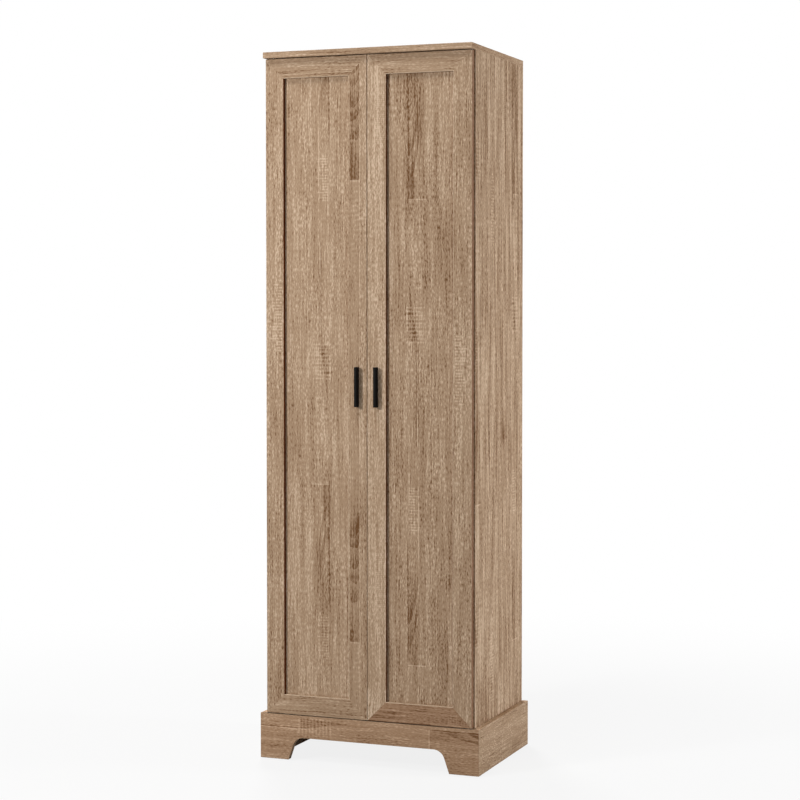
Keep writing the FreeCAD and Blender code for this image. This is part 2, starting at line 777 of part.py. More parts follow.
def mitred_frame(side_name, left_x):
    """Four mitred members of one door's frame, each a plate seen from the front."""
    wide, high, frame = door_width, door_height, d.frame_width
    outlines = {
        "left_stile": [(0, 0), (frame, frame), (frame, high - frame), (0, high)],
        "right_stile": [(wide, 0), (wide, high), (wide - frame, high - frame), (wide - frame, frame)],
        "bottom_rail": [(0, 0), (wide, 0), (wide - frame, frame), (frame, frame)],
        "top_rail": [(0, high), (frame, high - frame), (wide - frame, high - frame), (wide, high)],
    }
    members = {}
    for name, corners in outlines.items():
        body = plate(side_name + "_" + name + "_blank", "XZ_Plane", corners, d.door_thick)
        place(body, left_x, door_face + d.door_thick / 2, door_low)
        members[name] = body
    return members


def mitre_dowels_of(side_name, left_x):
    """One dowel square across each mitre of a door's frame."""
    dowels = {}
    reach = d.frame_width / 2
    slant = d.mitre_dowel / 2 * COS_45
    for corner, low_side, left_side in (
        ("bottom_left", True, True),
        ("bottom_right", True, False),
        ("top_left", False, True),
        ("top_right", False, False),
    ):
        x = left_x + (reach if left_side else door_width - reach)
        z = door_low + (reach if low_side else door_height - reach)
        lean = -1 if low_side == left_side else 1
        item = DOC.addObject("Part::Cylinder", side_name + "_mitre_dowel_" + corner)
        turn = FreeCAD.Rotation(FreeCAD.Vector(0, 1, 0), 45 * lean)
        item.Placement = FreeCAD.Placement(FreeCAD.Vector(), turn)
        bind(item, Radius=d.mitre_dowel_radius, Height=d.mitre_dowel)
        place(item, x - lean * slant, door_face + d.door_thick / 2, z - slant)
        dowels[corner] = item
    return dowels


def handle_body(side_name, side):
    """A solid bar that stands on edge on the door, with the edges of its front eased."""
    half, reach = d.handle_length / 2, d.handle_projection
    profile = [(0, -half), (-reach, -half), (-reach, half), (0, half)]
    body = plate(side_name + "_handle_bar", "YZ_Plane", profile, d.handle_width)
    rim = edges_at(body.Shape, lambda p: near(p.y, -d.handle_projection.number))
    fillet(body, side_name + "_handle_eased", rim, d.handle_round)
    place(body, side * stile_middle, door_face, d.handle_height)
    return body


def handle_screws_of(side_name, side):
    """Two pan-head screws from the back of the door into its handle."""
    screws = []
    for row in (-1, 1):
        z = d.handle_height + row * d.handle_centres / 2
        tag = side_name + "_handle_screw_" + str(row + 1)
        spot = (side * stile_middle, door_back, z)
        head = rod(tag + "_head", "+y", spot, d.handle_screw_head, d.screw_head_thick)
        shank = rod(tag + "_shank", "-y", spot, d.handle_screw_radius, d.door_thick + d.handle_screw_reach)
        screws.append(fused(tag, [head, shank]))
    return screws


# Doors: a mitred frame round a panel, a handle, and what meets the cabinet
for side_name, side in SIDES.items():
    left_x = door_meet if side > 0 else -door_edge
    right_x = left_x + door_width
    names = {"left_stile": "handle_stile", "right_stile": "hinge_stile"}
    if side < 0:
        names = {"left_stile": "hinge_stile", "right_stile": "handle_stile"}
    members = mitred_frame(side_name, left_x)
    dowels = mitre_dowels_of(side_name, left_x)
    screws = handle_screws_of(side_name, side)
    inside = d.frame_width - d.groove_depth
    panel_y = (door_face + d.panel_recess, door_face + d.panel_recess + d.panel_thick)
    groove = slab(
        side_name + "_groove",
        (left_x + inside, right_x - inside),
        panel_y,
        (door_low + inside, door_high - inside),
    )
    inside = inside + d.panel_play
    panel = slab(
        side_name + "_panel",
        (left_x + inside, right_x - inside),
        panel_y,
        (door_low + inside, door_high - inside),
    )
    catch_z = d.middle_shelf - d.catch_high / 2
    strike_half = d.strike_width / 2
    strike_spot = (side * stile_middle, strike_back, catch_z)
    strike_screw = screw(side_name + "_strike_screw", "-y", strike_spot, d.strike_screw)
    strike_blank = slab(
        side_name + "_strike_blank",
        along(side, stile_middle - strike_half, stile_middle + strike_half),
        (door_back, strike_back),
        (catch_z - d.strike_high / 2, catch_z + d.strike_high / 2),
    )
    bumper_spot = (side * (door_meet + d.bumper_inset), door_back, d.middle_shelf + d.board / 2)
    upper, lower = hinges["upper_" + side_name], hinges["lower_" + side_name]
    for name, body in members.items():
        corners = [corner for corner in dowels if name.split("_")[0] in corner]
        tools = [groove] + [dowels[corner] for corner in corners]
        label = side_name + "_door_" + names.get(name, name)
        if "bottom" not in name:
            tools += [upper.door_blank] + upper.door_screws
        if "top" not in name:
            tools += [lower.door_blank] + lower.door_screws
        if "handle" in label:
            tools += screws + [strike_screw]
        part(label, cut(side_name + "_" + name + "_cut", body, tools))
    part(side_name + "_door_panel", panel)
    part(side_name + "_door_mitre_dowels", group(side_name + "_dowels", list(dowels.values())))
    part(side_name + "_handle", cut(side_name + "_handle_cut", handle_body(side_name, side), screws))
    part(side_name + "_handle_screws", group(side_name + "_screws", screws))
    leaves = [hinges[end + "_" + side_name].door_leaf for end in ("upper", "lower")]
    part(side_name + "_door_hinge_leaves", group(side_name + "_door_leaves", leaves))
    leaf_screw_pairs = upper.door_screws + lower.door_screws
    part(side_name + "_door_leaf_screws", group(side_name + "_leaf_screws", leaf_screw_pairs))
    part(side_name + "_strike_plate", cut(side_name + "_strike", strike_blank, [strike_screw]))
    part(side_name + "_strike_screw", strike_screw)
    bumper = rod(side_name + "_bumper", "+y", bumper_spot, d.bumper_radius, d.bumper_thick)
    part(side_name + "_door_bumper", bumper)

DOC.recompute()

# Every object has to be built, and every sub-part has to be a valid shape, before anything is written
faults = [item.Name for item in DOC.Objects if "Invalid" in item.State or "Error" in item.State]
faults += [item.Label for item in PARTS if item.Shape.isNull() or not item.Shape.isValid()]
if faults:
    raise SystemExit("these are not sound: " + ", ".join(faults))
os.makedirs("parts", exist_ok=True)
for item in PARTS:
    item.Shape.exportStep("parts/" + item.Label + ".step")
    solids = len(item.Shape.Solids)
    print(item.Label, "solids", solids, "volume", round(item.Shape.Volume))
print(len(PARTS), "sub-parts")
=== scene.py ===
# %% [markdown]
# # A tall storage cabinet in printed oak
# The cabinet is made of flat boards with a printed oak surface: two side panels, a top, a bottom,
# shelves, a base with an arched front, and two framed doors with black handles. Its solids come from
# the construction model, already at their real size and place. This lesson gives them their looks:
# boards with eased edges and a grain that is cut from one long printed sheet, fittings with screw
# recesses and rounded heads, and a plain studio round the whole.

# %% Load the construction model
import json
import math

import bmesh
import bpy
import numpy as np
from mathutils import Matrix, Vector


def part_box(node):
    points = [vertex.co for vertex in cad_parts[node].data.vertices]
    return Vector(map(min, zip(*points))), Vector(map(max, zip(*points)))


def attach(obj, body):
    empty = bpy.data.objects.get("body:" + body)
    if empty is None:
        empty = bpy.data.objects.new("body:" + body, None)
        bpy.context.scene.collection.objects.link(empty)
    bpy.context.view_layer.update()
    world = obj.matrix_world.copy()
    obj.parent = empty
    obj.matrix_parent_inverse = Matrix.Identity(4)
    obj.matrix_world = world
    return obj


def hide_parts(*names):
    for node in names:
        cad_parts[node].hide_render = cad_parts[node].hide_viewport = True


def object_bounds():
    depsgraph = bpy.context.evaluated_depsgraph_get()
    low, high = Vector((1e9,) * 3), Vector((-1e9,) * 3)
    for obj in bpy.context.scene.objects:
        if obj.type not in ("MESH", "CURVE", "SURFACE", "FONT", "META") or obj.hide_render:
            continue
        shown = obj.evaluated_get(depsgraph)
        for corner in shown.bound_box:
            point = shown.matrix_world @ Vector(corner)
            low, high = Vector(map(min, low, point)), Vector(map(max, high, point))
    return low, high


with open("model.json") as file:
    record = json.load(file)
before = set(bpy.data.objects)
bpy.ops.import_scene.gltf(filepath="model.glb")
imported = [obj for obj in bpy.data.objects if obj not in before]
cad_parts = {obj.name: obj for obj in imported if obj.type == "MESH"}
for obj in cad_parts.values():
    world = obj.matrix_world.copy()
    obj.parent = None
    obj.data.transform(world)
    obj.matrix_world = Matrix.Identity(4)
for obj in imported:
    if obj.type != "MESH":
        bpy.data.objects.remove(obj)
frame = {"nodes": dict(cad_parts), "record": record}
cad_low, cad_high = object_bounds()
MM = 0.001
BODY_OF = {
    node: body
    for body, nodes in frame["record"]["behaviour"]["bodies"].items()
    for node in nodes
}
SIDES = ("left", "right")
print(len(frame["nodes"]), "nodes, box in metres:", tuple(cad_low), tuple(cad_high))

# %% [markdown]
# ## The camera
# The photograph shows parallel uprights, so its camera looked level and its frame was shifted down.
# Here most of that shift is a turn of two degrees instead: the uprights lean by less than a pixel and
# a half, and a camera that is moved to another side still has the whole cabinet in view.

# %% Place the camera
PHOTO_PIXELS = 800
FOCAL_PIXELS = 1998.5
SENSOR = 36.0
HORIZON_SHIFT = -0.0317
CAMERA_PLACE = (1.8914, -4.8038, 1.1623)
CAMERA_TURN = math.radians(21.348)
CAMERA_DIP = math.radians(2.0)

lens = bpy.data.cameras.new("photo_camera")
lens.sensor_width = SENSOR
lens.lens = FOCAL_PIXELS * SENSOR / PHOTO_PIXELS
lens.shift_y = HORIZON_SHIFT
camera = bpy.data.objects.new("photo_camera", lens)
camera.location = CAMERA_PLACE
camera.rotation_euler = (math.pi / 2 - CAMERA_DIP, 0, CAMERA_TURN)
bpy.context.scene.collection.objects.link(camera)
bpy.context.scene.camera = camera
print("lens", round(lens.lens, 1), "mm")

# %% [markdown]
# ## Lamps
# The handles throw a short shadow to the right and slightly down, so the key lamp stands in front,
# to the left and above. The right side of the cabinet is as light as its front, yet the edges of the
# doors that face the same way are dark: the lamp that lights it stands a little behind the line of
# the front, and the front edge of the side panel keeps it off the doors, and a band of painted shade
# on the doors' edges darkens them further. A wide soft lamp from above darkens the strip under the
# top board and lights the ledges, as in the photograph, and a painted light on the base's narrow
# faces makes the ledges paler still. A fourth lamp, high and behind, is for views of the back and top.

# %% Hang the lamps
LAMPS = {
    "key_lamp": {"place": (-1.70, -2.53, 1.92), "power": 57, "size": (0.42, 0.42)},
    "side_lamp": {"place": (3.3, 0.62, 1.35), "power": 70, "size": (0.5, 1.8)},
    "top_lamp": {"place": (-0.6, -2.1, 5.4), "power": 118, "size": (2.0, 1.6)},
    "rear_lamp": {"place": (-1.7, 2.9, 3.1), "power": 150, "size": (1.0, 1.0)},
}
CABINET_MIDDLE = ((cad_low + cad_high) / 2).freeze()


def lamp(name, place, power, size):
    """A rectangular lamp of so many watts that faces the middle of the cabinet."""
    light = bpy.data.lights.new(name, "AREA")
    light.shape = "RECTANGLE"
    light.size, light.size_y = size
    light.energy = power
    piece = bpy.data.objects.new(name, light)
    piece.location = place
    away = piece.location - CABINET_MIDDLE
    piece.rotation_euler = away.to_track_quat("Z", "Y").to_euler()
    bpy.context.scene.collection.objects.link(piece)


for name, looks in LAMPS.items():
    lamp(name, **looks)
print(len(LAMPS), "lamps")


# %% [markdown]
# ## A short way to write materials
# A material is a graph of small steps. The class below adds a step and joins it in one line, so that
# a pattern reads like the sum that it is.

# %% Helper for node graphs
class Graph:
    """A node tree, with one short method for each step that the materials use."""

    def __init__(self, tree):
        self.tree = tree

    def put(self, kind, settings=None, **inputs):
        """Add a node, set its properties, and feed its inputs with numbers or other sockets."""
        node = self.tree.nodes.new(kind)
        for name, value in (settings or {}).items():
            setattr(node, name, value)
        for name, value in inputs.items():
            self.feed(node.inputs[name.replace("_", " ")], value)
        return node

    def feed(self, socket, value):
        """Join a socket to another one, or give it a plain value."""
        if isinstance(value, bpy.types.NodeSocket):
            self.tree.links.new(value, socket)
        else:
            socket.default_value = value

    def sum(self, operation, first, second=0.0):
        """One step of arithmetic on two numbers."""
        node = self.tree.nodes.new("ShaderNodeMath")
        node.operation = operation
        self.feed(node.inputs[0], first)
        self.feed(node.inputs[1], second)
        return node.outputs[0]

    def add(self, first, second):
        return self.sum("ADD", first, second)

    def take(self, first, second):
        return self.sum("SUBTRACT", first, second)

    def times(self, first, second):
        return self.sum("MULTIPLY", first, second)

    def most(self, first, second):
        return self.sum("MAXIMUM", first, second)

    def size(self, value):
        return self.sum("ABSOLUTE", value)

    def turns(self, value, length):
        """How many whole lengths fit into a value."""
        return self.sum("FLOOR", self.sum("DIVIDE", value, length))

    def phase(self, value, length):
        """How far a value is into its last length, from 0 to 1."""
        return self.sum("FRACT", self.sum("DIVIDE", value, length))

    def pair(self, first, second, third=0.0):
        """Three numbers as a vector."""
        return self.put("ShaderNodeCombineXYZ", X=first, Y=second, Z=third).outputs[0]

    def split(self, vector):
        """The three numbers of a vector."""
        return self.put("ShaderNodeSeparateXYZ", Vector=vector).outputs

    def both(self, operation, first, second):
        """One step of arithmetic on two vectors."""
        node = self.put("ShaderNodeVectorMath", {"operation": operation})
        self.feed(node.inputs[0], first)
        self.feed(node.inputs[1], second)
        return node.outputs[0]

    def stretch(self, vector, scale):
        """A vector with each of its numbers scaled."""
        return self.both("MULTIPLY", vector, scale)

    def noise(self, vector, scale, detail=2.0, roughness=0.5):
        """Soft noise from 0 to 1 about a half, with its own scale each way."""
        spot = self.stretch(vector, scale)
        node = self.put("ShaderNodeTexNoise", Vector=spot, Scale=1.0, Detail=detail, Roughness=roughness)
        return node.outputs[0]

    def swing(self, value, amount):
        """Noise about a half turned into a number from about minus the amount to the amount."""
        return self.times(self.take(value, 0.5), 2 * amount)

    def ramp(self, value, low, high, start=0.0, end=1.0):
        """A smooth step from start to end while the value goes from low to high."""
        node = self.put("ShaderNodeMapRange", {"interpolation_type": "SMOOTHSTEP"})
        for index, number in enumerate((value, low, high, start, end)):
            self.feed(node.inputs[index], number)
        return node.outputs[0]

    def mix(self, share, first, second, blend="MIX"):
        """Two colours mixed by a share."""
        node = self.put("ShaderNodeMix", {"data_type": "RGBA", "blend_type": blend})
        self.feed(node.inputs[0], share)
        self.feed(node.inputs[6], first)
        self.feed(node.inputs[7], second)
        return node.outputs[2]


def new_group(name, inputs, outputs):
    """An empty node group with named sockets: each is a name and a kind, inputs also have a value."""
    tree = bpy.data.node_groups.new(name, "ShaderNodeTree")
    for socket, kind, value in inputs:
        made = tree.interface.new_socket(socket, in_out="INPUT", socket_type="NodeSocket" + kind)
        if value is not None:
            made.default_value = value
    for socket, kind in outputs:
        tree.interface.new_socket(socket, in_out="OUTPUT", socket_type="NodeSocket" + kind)
    graph = Graph(tree)
    return graph, tree.nodes.new("NodeGroupInput").outputs, tree.nodes.new("NodeGroupOutput").inputs


def empty_graph(owner):
    """The graph of a material's or a world's nodes, with none of them in it yet."""
    owner.use_nodes = True
    owner.node_tree.nodes.clear()
    return Graph(owner.node_tree)


def new_material(name):
    """An empty material: its graph and its Principled shader, joined to the output."""
    material = bpy.data.materials.new(name)
    graph = empty_graph(material)
    shader = graph.put("ShaderNodeBsdfPrincipled")
    graph.put("ShaderNodeOutputMaterial", Surface=shader.outputs[0])
    return material, graph, shader


def dress(graph, shader, colour, roughness, height, bump, depth, specular=None):
    """Feed a shader its colour and roughness, and a bump from a height, so strong and so deep."""
    graph.feed(shader.inputs["Base Color"], colour)
    graph.feed(shader.inputs["Roughness"], roughness)
    relief = graph.put("ShaderNodeBump", Strength=bump, Distance=depth, Height=height)
    graph.feed(shader.inputs["Normal"], relief.outputs[0])
    if specular is not None:
        shader.inputs["Specular IOR Level"].default_value = specular


print("steps of a graph:", [step for step in vars(Graph) if not step.startswith("_")])

# %% [markdown]
# ## Floor and air
# The photograph's ground is plain white. The floor and the air are white to the camera alone, and
# light the cabinet only a little; near the cabinet the floor still shows a part of its real shading,
# so that the shadow stays.

# %% Light the air
AIR_LIGHT = 0.11
WHITE = (1, 1, 1, 1)


def seen_directly(graph):
    """One for rays from the camera, and for those that a gloss or glass sends on; else zero."""
    path = graph.put("ShaderNodeLightPath").outputs
    direct = graph.most(path["Is Camera Ray"], path["Is Glossy Ray"])
    return graph.most(direct, path["Is Transmission Ray"])


world = bpy.data.worlds.new("studio_air")
air = empty_graph(world)
strength = air.ramp(seen_directly(air), 0.0, 1.0, AIR_LIGHT, 1.0)
sky = air.put("ShaderNodeBackground", Color=WHITE, Strength=strength)
air.put("ShaderNodeOutputWorld", Surface=sky.outputs[0])
bpy.context.scene.world = world
bpy.context.scene.view_settings.view_transform = "Standard"
print("air light", AIR_LIGHT)

# %% Lay the floor
FLOOR_HALF = 14.0
FLOOR_GREY = (0.53, 0.53, 0.53, 1)
SHADOW_SHARE = 0.15
SHADOW_NEAR, SHADOW_FAR = 0.8, 2.6

floor_material = bpy.data.materials.new("white_floor")
ground = empty_graph(floor_material)
place = ground.put("ShaderNodeTexCoord").outputs["Object"]
distance = ground.put("ShaderNodeVectorMath", {"operation": "LENGTH"}, Vector=place).outputs["Value"]
real = ground.ramp(distance, SHADOW_NEAR, SHADOW_FAR, SHADOW_SHARE, 0.0)
white_share = ground.times(seen_directly(ground), ground.take(1.0, real))
matt = ground.put("ShaderNodeBsdfDiffuse", Color=FLOOR_GREY)
glow = ground.put("ShaderNodeEmission", Color=WHITE, Strength=1.0)
blend = ground.put("ShaderNodeMixShader", Fac=white_share)
ground.feed(blend.inputs[1], matt.outputs[0])
ground.feed(blend.inputs[2], glow.outputs[0])
ground.put("ShaderNodeOutputMaterial", Surface=blend.outputs[0])

floor_mesh = bpy.data.meshes.new("floor")
corners = [(x * FLOOR_HALF, y * FLOOR_HALF, 0) for x, y in ((-1, -1), (1, -1), (1, 1), (-1, 1))]
floor_mesh.from_pydata(corners, [], [(0, 1, 2, 3)])
floor_mesh.materials.append(floor_material)
floor = bpy.data.objects.new("floor", floor_mesh)
bpy.context.scene.collection.objects.link(floor)
print("floor", 2 * FLOOR_HALF, "metres square")

# %% [markdown]
# ## The oak print
# The boards carry a printed oak. A roller prints the whole picture and starts again each turn, so the
# same marks come back every 1158 millimetres along the grain. Across, this sheet has three lanes of
# 300 millimetres with the same marks at other heights. It could be a photograph wrapped on as an image.
# Here it is worked out instead, on a flat sheet whose first number runs across the grain and whose
# second runs along it, in metres, so it stays sharp from near and has nobody's picture in it. The
# grain is a sum of noises of one fine width and several lengths: flecks, dashes and streaks.

# %% Name the sizes of the marks on the sheet
GIRTH = 1.158
LANE = 0.300
LANES = 3
LANE_RISE = 0.390
MARK_SOFT = 0.001
LINE_HALF, LINE_FADE = 0.0013, 0.02
SEAM = 0.1064
TICK_AT, TICK_END = 0.0645, 0.154
FLAME_WIDE = 0.0345
FLAME_RISE = 0.148
FLAME_POWER = 2.2
FLAME_FOOT = 0.118
FLAME_FADES = (0.34, 0.46)
LENSES = [(0.110, 0.052, 1.0), (0.171, 0.075, 1.0)]
FINE_RINGS = [(0.232 + 0.031 * step, 0.014 - 0.0015 * step, 0.80 - 0.07 * step) for step in range(5)]
HEART_LEFT, HEART_RIGHT = 0.0209, 0.0465
HEART_CELLS = (0.1455, 0.1935, 0.2237, 0.2766, 0.3094, 0.3599, 0.4597)
HEART_BEND, HEART_SLANT = 0.009, 0.006
WEDGE_FOOT, WEDGE_TIP = 0.8755, 1.0114
WEDGE_PLACE = 0.110
WEDGE_LEFT, WEDGE_RIGHT = 0.006, 0.020
WEDGE_RUNGS = (0.099, 0.106, 0.128, 0.165)
RUNG_PITCH, RUNG_THICK = 0.0096, 0.36
SLIT_PLACE = 0.1285
KNOT_PLACE, KNOT_HALF = 0.031, 0.007
KNOT_FOOT, KNOT_TIP = 0.575, 0.655
print("one picture of the print:", round(LANE * LANES, 3), "by", GIRTH, "metres, in", LANES, "lanes")


# %% Draw windows, lines and ladders
def window(graph, value, low, high, soft=MARK_SOFT):
    """One between low and high, with soft edges outside them, else zero."""
    return graph.times(graph.ramp(value, low - soft, low), graph.ramp(value, high + soft, high))


def hair_line(graph, across, along, place, low, high):
    """A thin line along the grain between two heights, from 0 to 1."""
    away = graph.size(graph.take(across, place))
    here = window(graph, along, low, high, LINE_FADE)
    return graph.times(graph.ramp(away, LINE_HALF, LINE_HALF * 0.4), here)


def hair_lines(graph, across, along, lines):
    """Several thin lines, each given by its place and its two heights."""
    drawn = 0.0
    for line in lines:
        drawn = graph.most(drawn, hair_line(graph, across, along, *line))
    return drawn


def rungs(graph, along, pitch):
    """Pale bars across the grain, from 0 to 1, one to each pitch."""
    away = graph.size(graph.take(graph.phase(along, pitch), 0.5))
    return graph.ramp(away, RUNG_THICK / 2 + 0.12, RUNG_THICK / 2 - 0.05)


def ladder(graph, across, along, left, right, low, high, pitch, shortest=0.35):
    """A coarse saw's rungs inside a box: all start at a thin upright, each has its own length."""
    number = graph.add(graph.turns(along, pitch), left)
    chance = graph.put("ShaderNodeTexWhiteNoise", {"noise_dimensions": "1D"}, W=number)
    length = graph.ramp(chance.outputs["Value"], 0.0, 1.0, (right - left) * shortest, right - left)
    ends = graph.ramp(graph.take(across, graph.add(length, left)), MARK_SOFT, -MARK_SOFT)
    inside = graph.times(window(graph, along, low, high, 0.006), graph.ramp(across, left - MARK_SOFT, left))
    upright = hair_line(graph, across, along, left, low - 0.010, high + 0.030)
    return graph.most(upright, graph.times(rungs(graph, along, pitch), graph.times(inside, ends)))


print("helpers: window, hair lines, rungs and ladder")


# %% [markdown]
# ## Flames, heart strip and wedge
# Growth rings that a flat cut meets at a slant close into flames. On this sheet they lean out of a seam
# between two staves: two dark lenses, then finer and finer rings above them, and a pale tick where the
# next stave begins. Another stave holds a strip of heartwood, cut into cells with round dark bottoms,
# and a third mark is a wedge of torn grain that the saw's rungs cross. Each is a curve that is written
# down, and dark on one side of it.

# %% Draw the marks
def flames(graph, across, along, wavy):
    """Dark rings that lean out of a seam, from 0 to 1.

    With s from 0 at the seam to 1 at the flames' far side, a ring is the curve whose height is that of
    its tip plus the rise times s to a power; it is dark along this edge and fades above it.
    """
    share = graph.sum("DIVIDE", graph.take(across, SEAM), FLAME_WIDE)
    lean = graph.sum("POWER", graph.most(share, 0.0), FLAME_POWER)
    field = graph.add(graph.take(along, graph.times(lean, FLAME_RISE)), wavy)
    foot = window(graph, along, TICK_AT, FLAME_FOOT, 0.002)
    dark = graph.times(foot, graph.ramp(share, 1.0, 0.6, 0.0, 0.55))
    for tip, thick, strength in LENSES + FINE_RINGS:
        fade = graph.ramp(field, tip + thick, tip + thick * 0.15, 0.0, strength)
        ring = graph.times(graph.ramp(field, tip - 0.0015, tip + 0.0015), fade)
        dark = graph.most(dark, ring)
    strip = graph.times(graph.ramp(share, -0.02, 0.03), graph.ramp(share, 1.12, 0.75))
    return graph.times(graph.times(dark, strip), graph.ramp(along, FLAME_FADES[1], FLAME_FADES[0]))


def heart_strip(graph, across, along, wavy, here):
    """Heartwood between two seams: how dark its cells are, and where the strip is."""
    off = graph.take(across, (HEART_LEFT + HEART_RIGHT) / 2)
    off = graph.sum("DIVIDE", off, (HEART_RIGHT - HEART_LEFT) / 2)
    inside = graph.times(graph.ramp(graph.size(off), 1.03, 0.97), here)
    bend = graph.take(graph.times(graph.times(off, off), HEART_BEND), graph.times(off, HEART_SLANT))
    field = graph.add(graph.add(along, bend), graph.times(wavy, 1.5))
    dark = 0.0
    for low, high in zip(HEART_CELLS, HEART_CELLS[1:]):
        last = 0.02 if high == HEART_CELLS[-1] else 0.0
        grow = graph.ramp(field, low - 0.004, low + (high - low) * 0.75, 0.15, 1.0)
        cell = window(graph, field, low + 0.001, high + last - 0.001, 0.0015)
        dark = graph.most(dark, graph.times(grow, cell))
    dark = graph.times(dark, graph.ramp(along, HEART_CELLS[-1] + MARK_SOFT, HEART_CELLS[-1]))
    return graph.times(inside, dark), inside


def wedge(graph, across, along):
    """A dark wedge that narrows upwards, and the pale rungs that cross it and run out beside it."""
    share = graph.sum("DIVIDE", graph.take(WEDGE_TIP, along), WEDGE_TIP - WEDGE_FOOT)
    off = graph.take(across, WEDGE_PLACE)
    left = graph.ramp(graph.add(off, graph.times(share, WEDGE_LEFT)), -MARK_SOFT, MARK_SOFT)
    right = graph.ramp(graph.take(off, graph.times(share, WEDGE_RIGHT)), MARK_SOFT, -MARK_SOFT)
    dark = graph.times(graph.times(left, right), window(graph, share, 0.0, 1.0, 0.02))
    start, full, fading, end = WEDGE_RUNGS
    beside = graph.times(graph.ramp(across, start, full), graph.ramp(across, end, fading))
    near = window(graph, along, WEDGE_FOOT - 0.004, WEDGE_TIP - 0.055, 0.01)
    return dark, graph.times(rungs(graph, along, RUNG_PITCH), graph.times(beside, near))


def knot(graph, across, along, wavy):
    """A slit knot: a dark lens along the grain, widest a third of the way up, in a soft dark cloud."""
    middle = KNOT_FOOT + (KNOT_TIP - KNOT_FOOT) / 3
    above = graph.times(graph.most(graph.take(along, middle), 0.0), 1 / (KNOT_TIP - middle))
    below = graph.times(graph.most(graph.take(middle, along), 0.0), 1 / (middle - KNOT_FOOT))
    reach = graph.add(above, below)
    away = graph.size(graph.add(graph.take(across, KNOT_PLACE), graph.times(wavy, 0.3)))
    slit = graph.ramp(graph.add(graph.times(away, 1 / KNOT_HALF), reach), 1.1, 0.7)
    wide = graph.add(graph.times(away, 0.25 / KNOT_HALF), graph.times(reach, 0.6))
    cloud = graph.ramp(wide, 1.2, 0.2, 0.0, 0.35)
    return graph.most(slit, cloud)


print("marks: flames, heart strip, wedge and knot")

# %% Draw what the saw left
LADDERS = {
    "on_the_panel": (0.109, 0.141, 0.400, 0.505, 0.0070),
    "on_the_hinge_stile": (0.2320, 0.268, 0.717, 0.886, 0.0076),
    "on_the_heart_strip": (HEART_LEFT, HEART_RIGHT, 0.475, 0.640, 0.0120),
    "on_the_handle_stile": (0.0215, 0.0555, 0.207, 0.340, 0.0047, 0.85),
}
HEART_LADDER, EVEN_LADDER = 0.55, 0.5


def saw_marks(graph, across, along, inside_heart, not_heart):
    """Every pale mark that crosses the grain: ladders of rungs, broken here and there, and ticks."""
    drawn = {name: ladder(graph, across, along, *sizes) for name, sizes in LADDERS.items()}
    pale = graph.most(drawn["on_the_panel"], drawn["on_the_hinge_stile"])
    short = graph.times(drawn["on_the_heart_strip"], graph.times(inside_heart, HEART_LADDER))
    even = graph.times(drawn["on_the_handle_stile"], graph.times(not_heart, EVEN_LADDER))
    pale = graph.most(graph.most(pale, short), even)
    tick = window(graph, along, TICK_AT - MARK_SOFT, TICK_AT + MARK_SOFT)
    tick = graph.times(tick, window(graph, across, SEAM, TICK_END))
    end = window(graph, along, HEART_CELLS[-1] - MARK_SOFT, HEART_CELLS[-1] + MARK_SOFT)
    return pale, graph.most(tick, graph.times(end, inside_heart))


print(len(LADDERS), "ladders on the sheet")

# %% [markdown]
# ## Grain, marks and tone together
# Two tables hold the noises of the grain, each with how often it changes in a metre across and along,
# its detail and its roughness. Those of the wood follow fibres that wander and, in places, curl; those
# of the sheet lie straight. The next tables say how far each noise moves the tone, between which of
# its values a noise takes a strength from one end to the other, and how much each mark darkens or
# pales a spot. The tone then picks a colour between dark, middle and light oak.

# %% Name the noises, swings and strengths
WOOD_NOISES = {
    "fleck": ((430.0, 108.0, 1.0), 1.0, 0.5),
    "dash": ((400.0, 24.0, 1.0), 1.0, 0.5),
    "streak": ((260.0, 4.2, 1.0), 3.0, 0.55),
    "broad": ((52.0, 2.3, 1.0), 3.0, 0.6),
}
SHEET_NOISES = {
    "fibre": ((900.0, 13.0, 1.0), 2.0, 0.6),
    "cloud": ((13.0, 5.0, 1.0), 2.0),
    "patch": ((20.0, 6.0, 1.0), 1.0),
    "break": ((150.0, 190.0, 1.0), 1.0),
    "waver": ((60.0, 18.0, 1.0), 2.0),
    "slow": ((15.0, 3.6, 1.0), 1.0),
    "quick": ((34.0, 11.0, 1.0), 1.0),
    "curl": ((75.0, 42.0, 1.0), 1.0),
    "curly": ((9.0, 3.0, 1.0), 1.0),
}
SWINGS = {"fleck": 0.60, "dash": 0.32, "streak": 0.46, "broad": 0.38, "fibre": 0.22, "cloud": 0.20}
WANDER = {"slow": 0.008, "quick": 0.0034}
STRENGTHS = {
    "curly": (0.42, 0.60, 0.0006, 0.0024),
    "patch": (0.40, 0.62, 0.85, 1.20),
    "break": (0.34, 0.52, 0.35, 1.0),
}
WAVER = 0.010
DARKENS = {
    "flame": 0.27,
    "heart_strip": 0.06,
    "knot": 0.60,
    "heart_cells": 0.27,
    "wedge": 0.28,
    "seam": 0.42,
}
LINE_PALES, RUNGS_PALE, TICK_PALES = 0.26, 0.25, 0.32
MARKS_CALM = 0.35
MIDDLE_TONE = 0.53
OAK_GLOSS, GLOSS_SWING = 0.62, 0.10
FLECK_HIGH, RUNG_HIGH = 0.7, 0.5
DARK_LINES = [(SEAM, 0.07, 0.36), (SLIT_PLACE, 0.62, 0.878)]
PALE_LINES = [(SLIT_PLACE + 0.0028, 0.62, 0.87), (SLIT_PLACE + 0.0055, 0.28, 0.50)]
HEART_EDGE = (HEART_LEFT - 0.001, 0.0, GIRTH)
OAK_INPUTS = [
    ("Sheet", "Vector", None),
    ("Light", "Color", (0.645, 0.503, 0.384, 1)),
    ("Middle", "Color", (0.392, 0.274, 0.185, 1)),
    ("Dark", "Color", (0.152, 0.074, 0.033, 1)),
    ("Marks", "Float", 1.0),
    ("Fleck", "Float", 1.0),
    ("Streak", "Float", 1.0),
    ("Lift", "Float", 0.0),
    ("Knot", "Float", 0.0),
]
